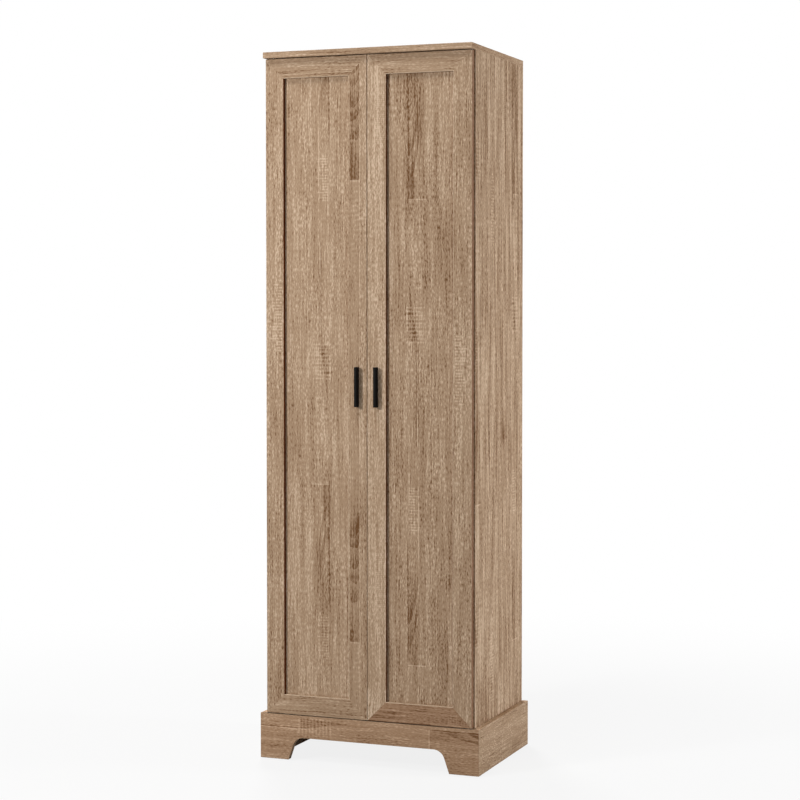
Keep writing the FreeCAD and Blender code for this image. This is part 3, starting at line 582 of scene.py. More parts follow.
OAK_OUTPUTS = [("Color", "Color"), ("Roughness", "Float"), ("Height", "Float")]
print(len(WOOD_NOISES) + len(SHEET_NOISES), "noises")


# %% Build the oak print once, as a group
def place_on_print(graph, sheet):
    """Where a spot of the sheet lies on the picture: across its lane, along it, and which lane it is."""
    first, second, _ = graph.split(sheet)
    width = graph.times(graph.phase(first, LANE * LANES), LANE * LANES)
    lane = graph.turns(width, LANE)
    across = graph.take(width, graph.times(lane, LANE))
    height = graph.add(second, graph.times(lane, LANE_RISE))
    return across, graph.times(graph.phase(height, GIRTH), GIRTH), lane


def wandering(graph, sheet, seen):
    """The sheet moved across the grain, so that the fibres wander and, in places, curl."""
    swung = [graph.swing(seen[name], amount) for name, amount in WANDER.items()]
    curly = graph.ramp(seen["curly"], *STRENGTHS["curly"])
    curl = graph.times(graph.take(seen["curl"], 0.5), graph.times(curly, 2.0))
    return graph.both("ADD", sheet, graph.pair(graph.add(graph.add(*swung), curl), 0.0))


def every_mark(graph, across, along, lane, wavy, whole, knot_share):
    """How much all marks darken a spot, where flames and heart strips lie, and the rungs alone."""
    heart_lane = graph.sum("GREATER_THAN", lane, LANES - 1.5)
    flame = flames(graph, across, along, wavy)
    heart, heart_here = heart_strip(graph, across, along, wavy, heart_lane)
    torn, torn_rungs = wedge(graph, across, along)
    pale, tick = saw_marks(graph, across, along, heart_here, graph.take(1.0, heart_lane))
    pale = graph.times(graph.most(pale, torn_rungs), whole)
    dark = {
        "flame": flame,
        "heart_strip": heart_here,
        "knot": graph.times(knot(graph, across, along, wavy), knot_share),
        "heart_cells": heart,
        "wedge": torn,
        "seam": hair_lines(graph, across, along, DARK_LINES),
    }
    marks = 0.0
    for name, mark in dark.items():
        marks = graph.add(marks, graph.times(mark, DARKENS[name]))
    edge = graph.times(hair_line(graph, across, along, *HEART_EDGE), heart_lane)
    bright = graph.most(hair_lines(graph, across, along, PALE_LINES), edge)
    sawn = graph.most(graph.times(pale, RUNGS_PALE), graph.times(tick, TICK_PALES))
    marks = graph.take(graph.take(marks, graph.times(bright, LINE_PALES)), sawn)
    return marks, graph.most(flame, heart_here), pale


def build_oak_print():
    """The group: a place on the sheet in, colour, roughness and height out."""
    graph, given, result = new_group("oak_print", OAK_INPUTS, OAK_OUTPUTS)
    sheet = given["Sheet"]
    seen = {name: graph.noise(sheet, *noise) for name, noise in SHEET_NOISES.items()}
    wood = wandering(graph, sheet, seen)
    seen |= {name: graph.noise(wood, *noise) for name, noise in WOOD_NOISES.items()}
    patch = graph.ramp(seen["patch"], *STRENGTHS["patch"])
    whole = graph.ramp(seen["break"], *STRENGTHS["break"])
    wavy = graph.swing(seen["waver"], WAVER)
    place = place_on_print(graph, sheet)
    marks, busy, pale = every_mark(graph, *place, wavy, whole, given["Knot"])

    swung = {name: graph.swing(seen[name], amount) for name, amount in SWINGS.items()}
    calm = graph.take(1.0, graph.times(busy, MARKS_CALM))
    grain = graph.times(graph.add(swung["fleck"], swung["dash"]), graph.times(patch, calm))
    grain = graph.times(grain, given["Fleck"])
    long_grain = graph.times(graph.add(swung["streak"], swung["broad"]), given["Streak"])
    tone = graph.add(graph.add(MIDDLE_TONE, given["Lift"]), graph.add(grain, swung["fibre"]))
    tone = graph.add(graph.add(tone, long_grain), swung["cloud"])
    tone = graph.take(tone, graph.times(marks, given["Marks"]))
    dusk = graph.mix(graph.ramp(tone, 0.0, 0.5), given["Dark"], given["Middle"])
    graph.feed(result["Color"], graph.mix(graph.ramp(tone, 0.5, 1.0), dusk, given["Light"]))
    graph.feed(result["Roughness"], graph.add(OAK_GLOSS, graph.swing(seen["fibre"], GLOSS_SWING)))
    height = graph.add(graph.times(seen["fleck"], FLECK_HIGH), graph.times(pale, RUNG_HIGH))
    graph.feed(result["Height"], height)
    return graph.tree


oak_print = build_oak_print()
print("oak print of", len(oak_print.nodes), "nodes")

# %% [markdown]
# ## Oak materials
# One material holds the print for the faces of a board, and a tint colours the whole of it. The narrow
# edges carry a glued band of its own tint: on the stiles of the doors it is a dark brown painted shade,
# which draws the shade as dark lines beside the panels and between the doors. Two attributes of the
# mesh tell the places apart: band is one on narrow faces, and rim says how much paler the tiny rounded
# edges are: a little, rubbed by hands and cloths, and most round the panels, where it is a painted
# highlight.

# %% Make the oak materials
# Paler rims: a little edge wear, and round the panels a painted highlight
WORN_AND_HIGHLIT_OAK = (0.72, 0.57, 0.42, 1)
PLAIN_TINT = (1.0, 0.965, 0.905, 1)
# Painted shade: darkens the right door's bottom rail, where the light falls off towards the lower right
PAINTED_SHADE_TINT = (0.91, 0.79, 0.70, 1)
# Painted shade: a dark brown band that stands in for the shadow in the recesses beside the panels and at
# the doors' edges
PAINTED_SHADE_BAND = (0.300, 0.115, 0.045, 1)
EDGE_BAND = (1.0, 0.96, 0.90, 1)
BASE_TINT = (0.98, 0.875, 0.775, 1)
BASE_BAND = (0.78, 0.68, 0.58, 1)
# Painted light: a tint above one that makes the narrow faces and ledges of the base's sides paler, as more
# light would
PAINTED_LIGHT_BAND = (1.25, 1.17, 1.06, 1)
OAK_BUMP, OAK_DEPTH = 0.35, 0.25 * MM
OAK_SPECULAR = 0.03


def oak_material(
    name, tint=PLAIN_TINT, band=EDGE_BAND, lift=0.0, marks=1.0, fleck=1.0, streak=1.0, knots=0.0
):
    """Printed oak whose colour is multiplied by a tint, with another tint on the narrow edges."""
    material, graph, shader = new_material(name)
    sheet = graph.put("ShaderNodeUVMap", {"uv_map": "sheet"}).outputs[0]
    values = {"Sheet": sheet, "Lift": lift, "Marks": marks, "Fleck": fleck, "Streak": streak, "Knot": knots}
    oak = graph.put("ShaderNodeGroup", {"node_tree": oak_print}, **values).outputs
    on_band = graph.put("ShaderNodeAttribute", {"attribute_name": "band"}).outputs["Fac"]
    rim_wear_and_highlight = graph.put("ShaderNodeAttribute", {"attribute_name": "rim"}).outputs["Fac"]
    tinted = graph.mix(1.0, oak["Color"], graph.mix(on_band, tint, band), "MULTIPLY")
    # Painted highlight on the rims round the panels, and slight wear on the other rims
    colour = graph.mix(rim_wear_and_highlight, tinted, WORN_AND_HIGHLIT_OAK)
    dress(graph, shader, colour, oak["Roughness"], oak["Height"], OAK_BUMP, OAK_DEPTH, OAK_SPECULAR)
    return material


OAKS = {
    "carcass_oak": {"lift": -0.03, "marks": 0.5, "fleck": 0.8, "streak": 1.2},
    "side_oak": {"lift": 0.01, "fleck": 1.3, "streak": 2.0, "knots": 1.0},
    # The stiles and panels take the painted shade band on their narrow faces
    "stile_oak": {"band": PAINTED_SHADE_BAND, "fleck": 1.1},
    "pale_stile_oak": {"band": PAINTED_SHADE_BAND, "lift": 0.13, "marks": 0.9},
    "rail_oak": {"lift": -0.02, "marks": 0.5, "fleck": 0.75, "streak": 1.2},
    # The right door's bottom rail in painted shade, its tone also lowered
    "painted_shade_rail_oak": {"tint": PAINTED_SHADE_TINT, "lift": -0.08, "marks": 0.5, "fleck": 0.8, "streak": 1.2},
    "panel_oak": {"band": PAINTED_SHADE_BAND, "lift": -0.02, "fleck": 1.08, "streak": 1.15},
    # Painted light: the left door's panel is lifted paler than the right one's, on the key lamp's side,
    # with slightly calmer marks
    "painted_light_panel_oak": {"band": PAINTED_SHADE_BAND, "lift": 0.035, "marks": 0.9, "streak": 1.05},
    "base_oak": {"tint": BASE_TINT, "band": BASE_BAND, "fleck": 0.8, "streak": 0.8},
    # The base's sides take the painted light band on their narrow faces
    "base_side_oak": {"band": PAINTED_LIGHT_BAND, "lift": 0.02, "marks": 0.6, "streak": 0.8},
}
OAK = {name: oak_material(name, **looks) for name, looks in OAKS.items()}
print(len(OAK), "oak materials")

# %% [markdown]
# ## Metal, plastic and rubber
# The fittings are small, so their finishes are told apart mostly by how they shine. Bright zinc has
# faint rolling lines and cloudy yellow and blue tints. The handles are powder coated: baked dust
# that leaves a skin like fine orange peel, with the gloss rubbed a little higher where hands go.
# Moulded parts are even, with a soft haze. One group gives all of them their wear: a blotchy haze at
# the scale of finger marks, and a fine grain.

# %% Build the handling haze once, as a group
def build_haze():
    """The group: a place and a scale in; blotches, grain and a roughness that follows them out."""
    graph, given, result = new_group(
        "handling_haze",
        [
            ("Place", "Vector", None),
            ("Grain", "Float", 1400.0),
            ("Gloss", "Float", 0.4),
            ("Spread", "Float", 0.1),
        ],
        [("Blotch", "Float"), ("Grain", "Float"), ("Roughness", "Float")],
    )
    blotch = graph.noise(given["Place"], (60.0, 60.0, 45.0), 3.0, 0.6)
    fine = graph.stretch(given["Place"], graph.pair(given["Grain"], given["Grain"], given["Grain"]))
    grain = graph.noise(fine, (1.0, 1.0, 1.0), 2.0, 0.5)
    uneven = graph.times(graph.take(blotch, 0.5), given["Spread"])
    graph.feed(result["Blotch"], blotch)
    graph.feed(result["Grain"], grain)
    graph.feed(result["Roughness"], graph.add(given["Gloss"], graph.times(uneven, 2.0)))
    return graph.tree


haze = build_haze()
print("handling haze of", len(haze.nodes), "nodes")


# %% Make the finishes of the fittings
def fitting_material(
    name, colours, gloss, spread, grain, bump, metallic=0.0, stretch=(1, 1, 1), specular=None
):
    """A plain finish whose colour drifts between two, with the haze on its gloss and a fine bump."""
    material, graph, shader = new_material(name)
    place = graph.put("ShaderNodeTexCoord").outputs["Object"]
    values = {"Place": graph.stretch(place, stretch), "Grain": grain, "Gloss": gloss, "Spread": spread}
    worn = graph.put("ShaderNodeGroup", {"node_tree": haze}, **values).outputs
    first, second = [(*colour, 1) for colour in colours]
    colour = graph.mix(graph.ramp(worn["Blotch"], 0.36, 0.64), first, second)
    dress(graph, shader, colour, worn["Roughness"], worn["Grain"], bump, 0.1 * MM, specular)
    shader.inputs["Metallic"].default_value = metallic
    return material


LONG_LINES = (1.0, 1.0, 0.08)
FINISHES = {
    "bright_zinc": [[(0.60, 0.60, 0.56), (0.52, 0.56, 0.61)], 0.36, 0.12, 1500.0, 0.25, 1.0, LONG_LINES],
    "white_moulding": [[(0.74, 0.74, 0.70), (0.80, 0.80, 0.77)], 0.42, 0.08, 900.0, 0.15],
    "black_moulding": [[(0.018, 0.018, 0.018), (0.028, 0.027, 0.026)], 0.46, 0.10, 1100.0, 0.3],
    "clear_rubber": [[(0.58, 0.57, 0.52), (0.66, 0.65, 0.60)], 0.30, 0.12, 700.0, 0.1],
    "magnet_ferrite": [[(0.030, 0.029, 0.030), (0.045, 0.043, 0.042)], 0.62, 0.08, 1600.0, 0.4],
}
zinc, white_moulding, black_moulding, clear_rubber, ferrite = [
    fitting_material(name, *looks) for name, looks in FINISHES.items()
]
POWDER = [(0.0065, 0.0062, 0.0060), (0.0105, 0.0100, 0.0095)]
powder = fitting_material("black_powder_coat", POWDER, 0.50, 0.10, 1900.0, 0.5, specular=0.04)
print("fitting finishes:", *FINISHES, "black_powder_coat")

# %% [markdown]
# ## Raw wood and hardboard
# Inside the base stand two blocks of sawn pine, and beech dowels hide in the joints. Sawn wood shows
# its rings as stripes that run with the grain, darker and harder on one side of each ring than on the
# other. The back is hardboard: brown pressed fibre outside, and a printed face inside.

# %% Make raw wood and hardboard
def raw_wood(name, pale, dark, rings):
    """Sawn wood: slanted sheets of growth rings, so many to a metre, cut along the block."""
    material, graph, shader = new_material(name)
    place = graph.put("ShaderNodeTexCoord").outputs["Object"]
    x, y, _ = graph.split(place)
    bow = graph.add(graph.times(y, 0.55), graph.swing(graph.noise(place, (22.0, 22.0, 3.0), 2.0), 0.006))
    phase = graph.sum("FRACT", graph.times(graph.add(x, bow), rings))
    late = graph.times(graph.ramp(phase, 0.2, 0.85), graph.ramp(phase, 1.0, 0.9))
    fibre = graph.noise(place, (900.0, 900.0, 26.0), 3.0, 0.6)
    tone = graph.add(graph.times(late, 0.6), graph.swing(fibre, 0.3))
    colour = graph.mix(graph.ramp(tone, 0.0, 1.0), (*pale, 1), (*dark, 1))
    roughness = graph.add(0.7, graph.swing(fibre, 0.1))
    dress(graph, shader, colour, roughness, fibre, 0.5, 0.2 * MM, 0.25)
    return material


def hardboard_material():
    """Brown pressed fibre: short hairs that lie every way, and soft clouds."""
    material, graph, shader = new_material("brown_hardboard")
    place = graph.put("ShaderNodeTexCoord").outputs["Object"]
    tilted = graph.put("ShaderNodeMapping", Vector=place, Rotation=(0, math.radians(62), 0)).outputs[0]
    hair = graph.noise(place, (520.0, 1.0, 90.0), 3.0, 0.6)
    cross_hair = graph.noise(tilted, (480.0, 1.0, 110.0), 3.0, 0.6)
    cloud = graph.noise(place, (7.0, 1.0, 7.0), 3.0, 0.55)
    tone = graph.add(graph.swing(hair, 0.5), graph.swing(cross_hair, 0.5))
    tone = graph.add(graph.add(0.5, tone), graph.swing(cloud, 0.35))
    colour = graph.mix(graph.ramp(tone, 0.0, 1.0), (0.150, 0.082, 0.045, 1), (0.300, 0.180, 0.105, 1))
    roughness = graph.add(0.6, graph.swing(hair, 0.12))
    dress(graph, shader, colour, roughness, tone, 0.4, 0.15 * MM, 0.3)
    return material


pine = raw_wood("sawn_pine", (0.66, 0.47, 0.27), (0.46, 0.26, 0.11), 260.0)
beech = raw_wood("turned_beech", (0.62, 0.43, 0.27), (0.50, 0.31, 0.17), 700.0)
hardboard = hardboard_material()
print("raw wood and hardboard made")

# %% [markdown]
# ## Boards with eased edges
# A saw leaves an edge sharp, and the works ease it by about half a millimetre, which is what catches
# the light. Each board starts as a copy of its solid, with every hole and recess in place. Flat
# neighbours are joined to one face, and only the long outer edges are rounded: rims shorter than a
# hand's width belong to holes and stay crisp. The doors' inner edges, beside the panels, are softer.

# %% Ease the edges of the boards
EASE = 0.6 * MM
INNER_EASE = 1.6 * MM
SHORTEST_OUTLINE = 0.15
MITRE = math.sqrt(0.5)
FLAT = math.radians(1.0)
SHARP = math.radians(30.0)
CREASE = math.radians(32.0)


def numbers(items, attribute, width=3, kind=float):
    """An attribute of all corners, edges or faces of a mesh: a row of so many numbers for each."""
    values = np.empty(len(items) * width, kind)
    items.foreach_get(attribute, values)
    return values.reshape(-1, width)


def finished(mesh, material):
    """A mesh with soft shading, except across edges sharper than the crease, and its material."""
    mesh.shade_smooth()
    mesh.set_sharp_from_angle(angle=CREASE)
    mesh.materials.append(material)
    return mesh


def merged_copy(node):
    """The node's mesh with its loose triangles joined into whole faces."""
    shell = bmesh.new()
    shell.from_mesh(frame["nodes"][node].data)
    bmesh.ops.remove_doubles(shell, verts=shell.verts, dist=2e-6)
    bmesh.ops.dissolve_limit(shell, angle_limit=FLAT, verts=shell.verts, edges=shell.edges)
    return shell


def on_mitre(edge):
    """True for an edge of a face that is cut at 45 degrees across a door's frame."""
    normals = [face.normal for face in edge.link_faces]
    return any(abs(abs(n.x) - MITRE) < 0.01 and abs(abs(n.z) - MITRE) < 0.01 for n in normals)


def long_outlines(shell, shortest):
    """The sharp edges that belong to an outline longer than a hole's rim, mitres left out, in order."""
    shell.edges.index_update()
    joined = [edge for edge in shell.edges if len(edge.link_faces) == 2]
    sharp = {edge for edge in joined if edge.calc_face_angle() > SHARP and not on_mitre(edge)}
    chosen = []
    while sharp:
        chain = [sharp.pop()]
        for edge in chain:
            beside = {other for corner in edge.verts for other in corner.link_edges} & sharp
            sharp -= beside
            chain.extend(beside)
        if sum(edge.calc_length() for edge in chain) > shortest:
            chosen += chain
    return sorted(chosen, key=lambda edge: edge.index)


def shown(name, mesh, node):
    """Put a new piece in the scene in place of a node, on that node's body."""
    piece = bpy.data.objects.new(name, mesh)
    bpy.context.scene.collection.objects.link(piece)
    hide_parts(node)
    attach(piece, BODY_OF[node])
    return piece


def borders(edge, axis, place, front):
    """True for an edge that lies on both a place along an axis and the board's front."""
    return all(abs(v.co[axis] - place) < EASE and abs(v.co.y - front) < EASE for v in edge.verts)


def eased(node, width=EASE, segments=2, shortest=SHORTEST_OUTLINE, inner=None):
    """A mesh of the node's solid with the edges of its longer outlines rounded, an inner one more."""
    shell = merged_copy(node)
    edges = long_outlines(shell, shortest)
    if inner is not None:
        front = min(corner.co.y for corner in shell.verts)
        softer = [edge for edge in edges if borders(edge, *inner, front)]
        edges = [edge for edge in edges if edge not in softer]
        bmesh.ops.bevel(shell, geom=softer, offset=INNER_EASE, segments=3, profile=0.5, affect="EDGES")
        edges = [edge for edge in edges if edge.is_valid]
    bmesh.ops.bevel(shell, geom=edges, offset=width, segments=segments, profile=0.5, affect="EDGES")
    mesh = bpy.data.meshes.new(node + "_eased")
    shell.to_mesh(mesh)
    shell.free()
    return mesh


print("eased by", EASE, "m, beside the panels by", INNER_EASE, "m")

# %% [markdown]
# ## Laying the print on
# The sheet of print is laid on each board: each face takes the place of its corners across and along
# the grain, moved to its own cut of the sheet. Where the grain meets a face end on, a band is glued on
# with its grain along the longer way. The two doors come from the same cut, one of them turned head
# to foot, as a saw bench delivers a pair. The rims are rubbed a little paler, and beside the panels a
# painted highlight makes them much paler, but at the left of each panel the rim that turns to the
# right takes the band's painted shade.

# %% Cover the boards
# Paleness of the rims: slight wear on the outer rims, a painted highlight on the rims beside the panels
RIM_RUB, INNER_RIM_HIGHLIGHT = 0.15, 0.9
PAINTED_SHADE_LEAN = 0.2
INNER_REACH = 3 * MM
FULLY_FLAT = 0.995
# How much of the painted shade band the outer edges of each kind of stile take
OUTER_PAINTED_SHADE_SHARES = {"handle_stile": 0.10, "hinge_stile": 0.60}
TURNED_FACE_SHIFT = (0.47, 0.83)
REAR_FACE_SHIFT = (0.29, 0.39)


def picked(rows, columns):
    """One number of each row, from the column that is named for it."""
    return np.take_along_axis(rows, columns[:, None], axis=1)[:, 0]


def lie_of(mesh):
    """The faces' normals, the axis that each looks along, the board's size, and its thin axis."""
    normals = numbers(mesh.polygons, "normal")
    size = np.ptp(numbers(mesh.vertices, "co"), axis=0)
    return normals, np.abs(normals).argmax(axis=1), size, int(size.argmin())


def sheet_places(mesh, grain, cut, front):
    """Where each loop of a board's mesh lies on the sheet.

    On a face the sheet's second number follows the grain and its first the other way in the face, each
    times a sign and moved to the board's cut. The face that shows keeps the cut, and each other face is
    moved on to another place.
    """
    normals, facing, size, thickness = lie_of(mesh)
    along = np.full(len(facing), grain)
    along[facing == grain] = max((axis for axis in range(3) if axis != grain), key=lambda axis: size[axis])
    across = 3 - facing - along
    turns = (facing - thickness) % 3
    rear = (facing == thickness) & (picked(normals, facing) * front < 0)
    shift = np.outer(turns, TURNED_FACE_SHIFT) + np.outer(rear, REAR_FACE_SHIFT)
    loops_of_face = numbers(mesh.polygons, "loop_total", 1, np.int32)[:, 0]
    face_of_loop = np.repeat(np.arange(len(facing)), loops_of_face)
    spots = numbers(mesh.vertices, "co")[numbers(mesh.loops, "vertex_index", 1, np.int32)[:, 0]]
    u, v = picked(spots, across[face_of_loop]), picked(spots, along[face_of_loop])
    return np.stack([cut[0] * u + cut[1], cut[2] * v + cut[3]], axis=1) + shift[face_of_loop]


def edge_marks(mesh, front, inner, outer_band):
    """The share of glued band and of paler rim on each face of a board's mesh.

    Faces within reach of the inner edge belong to it. There the rims are palest, a painted highlight,
    but those that lean to the right take the band's painted shade instead.
    """
    normals, facing, _, thickness = lie_of(mesh)
    flat = np.abs(normals).max(axis=1) > FULLY_FLAT
    slanted = np.isclose(np.sort(np.abs(normals), axis=1)[:, 1:], MITRE, atol=0.01).all(axis=1)
    rim = ~flat & ~slanted
    band = np.where(facing != thickness, outer_band, 0.0)
    wear_and_highlight = np.where(rim, RIM_RUB, 0.0)
    if inner is not None:
        axis, place = inner
        near = np.abs(numbers(mesh.polygons, "center")[:, axis] - place) < INNER_REACH
        shows = rim & near & (np.sign(normals[:, thickness]) == front)
        # Painted shade: on the stiles, the walls beside the panel and the rims that lean right, away from
        # the key lamp, take the full dark band
        dark = shows & (normals[:, 0] > PAINTED_SHADE_LEAN)
        band[(near & (facing == axis)) | dark] = 1.0
        # Painted highlight on the inner rims, and none on those in painted shade
        wear_and_highlight[shows] = INNER_RIM_HIGHLIGHT
        wear_and_highlight[dark] = 0.0
    return {"band": band, "rim": wear_and_highlight}


def cover(mesh, grain, cut, front, inner, outer_band):
    """Lay the printed sheet on a board, and mark its narrow faces and its rounded rims."""
    sheet = sheet_places(mesh, grain, cut, front)
    marks = edge_marks(mesh, front, inner, outer_band)
    mesh.uv_layers.new(name="sheet").uv.foreach_set("vector", sheet.astype(np.float32).ravel())
    for name, values in marks.items():
        mark = mesh.attributes.new(name, "FLOAT", "FACE")
        mark.data.foreach_set("value", values.astype(np.float32))


def inner_edge(node):
    """The axis and place of the edge of a door's frame board that borders the panel."""
    if not node.endswith(("_stile", "_rail")) or "_door_" not in node:
        return None
    axis = 0 if node.endswith("_stile") else 2
    panel = node.split("_door_")[0] + "_door_panel"
    middle = sum(corner[axis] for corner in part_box(panel)) / 2
    return axis, min((corner[axis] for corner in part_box(node)), key=lambda place: abs(place - middle))


def board(node, grain, oak, front, cut):
    """One printed board in place of its node."""
    mesh = eased(node, inner=inner_edge(node))
    band = next((share for part, share in OUTER_PAINTED_SHADE_SHARES.items() if part in node), 1.0)
    cover(mesh, grain, cut, front, inner_edge(node), band)
    mesh.materials.append(OAK[oak])
    return shown(node + "_board", mesh, node)


print("inner edge of the left handle stile at", inner_edge("left_door_handle_stile"))

# %% Cut the boards from the sheet
ALONG_X, ALONG_Y, ALONG_Z = 0, 1, 2
BOARDS = [
    ("top_board", ALONG_X, "carcass_oak", 1),
    ("left_side_panel", ALONG_Z, "side_oak", -1),
    ("right_side_panel", ALONG_Z, "side_oak", 1),
    ("bottom_panel", ALONG_X, "carcass_oak", 1),
    ("fixed_middle_shelf", ALONG_X, "carcass_oak", 1),
    ("base_front_board", ALONG_X, "base_oak", -1),
    ("base_left_board", ALONG_Y, "base_side_oak", -1),
    ("base_right_board", ALONG_Y, "base_side_oak", 1),
    ("base_back_rail", ALONG_X, "base_oak", 1),
]
BOARDS += [("adjustable_shelf_%d" % number, ALONG_X, "carcass_oak", 1) for number in (1, 2, 3, 4)]
DOOR_OAKS = {
    "left": ("stile_oak", "painted_light_panel_oak", "rail_oak"),
    "right": ("pale_stile_oak", "panel_oak", "painted_shade_rail_oak"),
}
for side, (handle_stile_oak, inset_oak, bottom_oak) in DOOR_OAKS.items():
    BOARDS += [
        (side + "_door_hinge_stile", ALONG_Z, "stile_oak", -1),
        (side + "_door_handle_stile", ALONG_Z, handle_stile_oak, -1),
        (side + "_door_panel", ALONG_Z, inset_oak, -1),
        (side + "_door_top_rail", ALONG_X, "rail_oak", -1),
        (side + "_door_bottom_rail", ALONG_X, bottom_oak, -1),
    ]
BOARDS += [(half + "_back_panel", ALONG_Z, "panel_oak", -1) for half in ("lower", "upper")]
RIGHT_CUT = (1, 0.0, 1, -0.200)
LEFT_CUT = (-1, 0.0, -1, 1.9315)
HEART_CUT = (-1, 2 * LANE, -1, LEFT_CUT[3] - 2 * LANE_RISE)
CUTS = {
    "right_door_hinge_stile": RIGHT_CUT,
    "right_door_handle_stile": RIGHT_CUT,
    "right_door_panel": RIGHT_CUT,
    "left_door_hinge_stile": LEFT_CUT,
    "left_door_handle_stile": HEART_CUT,
    "left_door_panel": LEFT_CUT,
    "right_side_panel": (1, -0.011, 1, -0.2255),
    "base_front_board": (-1, 0.2144, 1, -0.101),
}
CUT_STEP = (0.613, 1.377)
for number, (node, grain, oak, front) in enumerate(BOARDS):
    next_cut = (1, number * CUT_STEP[0], 1, number * CUT_STEP[1])
    piece = board(node, grain, oak, front, CUTS.get(node, next_cut))
    if "back_panel" in node:
        piece.data.materials.append(hardboard)
        outside = numbers(piece.data.polygons, "normal")[:, 1] > 0.5
        piece.data.polygons.foreach_set("material_index", outside.astype(np.int32))
print(len(BOARDS), "boards")

# %% [markdown]
# ## The handles
# Each handle is a slim solid bar that stands on edge on its stile, held by two screws from behind. It
# could be a box with a bevel. Here it is a rounded rectangle that shrinks and rounds over as it comes
# forward, because the die that casts such a bar leaves its front edges softer than its sides.

# %% Cast the handles
BAR_CORNER = 0.5 * MM
BAR_EASE = 0.9 * MM
CORNER_STEPS = 6
EASE_STEPS = 6


def rounded_rectangle(half_wide, half_high, radius, steps):
    """Points of a rectangle with round corners: each corner's centre plus a quarter of a circle."""
    turn = np.linspace(0, math.pi / 2, steps)
    quarter = np.arange(4)[:, None]
    angle = (turn[None, :] + quarter * math.pi / 2).ravel()
    sign_wide = np.repeat([1, -1, -1, 1], steps)
    sign_high = np.repeat([1, 1, -1, -1], steps)
    wide = sign_wide * (half_wide - radius) + radius * np.cos(angle)
    high = sign_high * (half_high - radius) + radius * np.sin(angle)
    return np.stack([wide, high], axis=1)


def closed_stack(rings):
    """Faces of a stack of equal rings of points, closed by one face at each end.

    Corner number = ring times points plus point; each face joins a point, the next one, and the same
    two on the ring above.
    """
    count, points = len(rings), len(rings[0])
    ring = np.arange(count - 1)[:, None] * points
    here = np.arange(points)[None, :]
    after = (here + 1) % points
    sides = np.stack([ring + here, ring + after, ring + points + after, ring + points + here], axis=2)
    faces = [tuple(face) for face in sides.reshape(-1, 4).tolist()]
    faces.append(tuple(range(points - 1, -1, -1)))
    faces.append(tuple(range((count - 1) * points, count * points)))
    return np.concatenate(rings), faces


def joined(shapes):
    """Several closed shapes, each given by its corners and faces, as one."""
    starts = np.cumsum([0] + [len(corners) for corners, _ in shapes]).tolist()
    moved = [
        tuple(corner + start for corner in face)
        for start, (_, faces) in zip(starts, shapes)
        for face in faces
    ]
    return np.concatenate([corners for corners, _ in shapes]), moved


def smooth_mesh(name, shape, material):
    """A mesh of a closed shape, with its finish."""
    mesh = bpy.data.meshes.new(name)
    mesh.from_pydata(shape[0].tolist(), [], shape[1])
    return finished(mesh, material)


for side in SIDES:
    low, high = (np.array(corner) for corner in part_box(side + "_handle"))
    middle, half = (low + high) / 2, (high - low) / 2
    roll = np.linspace(0, math.pi / 2, EASE_STEPS)
    shrink = np.concatenate([[0.0], BAR_EASE * (1 - np.cos(roll))])
    depth = np.concatenate([[high[1]], low[1] + BAR_EASE * (1 - np.sin(roll))])
    rings = []
    for less, y in zip(shrink, depth):
        outline = rounded_rectangle(half[0] - less, half[2] - less, BAR_CORNER + less * 0.4, CORNER_STEPS)
        y_row = np.full(len(outline), y)
        rings.append(np.stack([middle[0] + outline[:, 0], y_row, middle[2] + outline[:, 1]], axis=1))
    name = side + "_handle_bar"
    shown(name, smooth_mesh(name, closed_stack(rings), powder), side + "_handle")
print("2 handles,", round(2000 * half[2]), "mm long")

# %% [markdown]
# ## Turned fittings
# Screws, nails, pins, cams, glides and bumpers are all turned shapes: a radius that changes along an
# axis. Their nodes hold many of them, so the first helper tells the solids of a node apart and finds
# the axis of each. A turned shape is a stack of rings; a cross recess is made of rings too, whose
# radius follows the outline of a plus instead of a circle.

# %% Find each solid of a node
def solids_of(node):
    """The corners of each separate solid of a node.

    Every corner starts with its own number. Each edge hands the lower number of its two ends to both,
    over and over, until nothing changes; corners that share a number belong to one solid.
    """
    mesh = frame["nodes"][node].data
    spots = numbers(mesh.vertices, "co")
    same = np.unique(spots, axis=0, return_inverse=True)[1].ravel()
    first, second = same[numbers(mesh.edges, "vertices", 2, np.int32)].T
    label = np.arange(same.max() + 1)
    changed = True
    while changed:
        lower = np.minimum(label[first], label[second])
        fresh = label.copy()
        np.minimum.at(fresh, first, lower)
        np.minimum.at(fresh, second, lower)
        changed = bool((fresh != label).any())
        label = fresh
    return [spots[label[same] == number] for number in np.unique(label)]


def axis_of(spots, towards=None):
    """Foot, length, radius and the three directions of a turned solid, the last along its axis.

    The axis is the direction whose extent differs from the other two. The head is the end with the
    wider rim, unless a way to look towards is given.
    """
    low, high = spots.min(axis=0), spots.max(axis=0)
    size = high - low
    unlike = [abs(size[(axis + 1) % 3] - size[(axis + 2) % 3]) for axis in range(3)]
    axis = int(np.argmin(unlike))
    middle = (low + high) / 2
    if towards is None:
        span = size[axis] * 0.04
        away = np.linalg.norm(np.delete(spots - middle, axis, axis=1), axis=1)
        near_high = away[spots[:, axis] > high[axis] - span].max()
        near_low = away[spots[:, axis] < low[axis] + span].max()
        sign = 1.0 if near_high >= near_low else -1.0
    else:
        sign = 1.0 if np.dot(towards(middle), np.eye(3)[axis]) > 0 else -1.0
    foot = middle.copy()
    foot[axis] = low[axis] if sign > 0 else high[axis]
    up = np.eye(3)[axis] * sign
    right = np.eye(3)[(axis + 1) % 3]
    return foot, size[axis], size[(axis + 1) % 3] / 2, (right, np.cross(up, right), up)


print("screws of the left door's leaves:", len(solids_of("left_door_leaf_screws")))


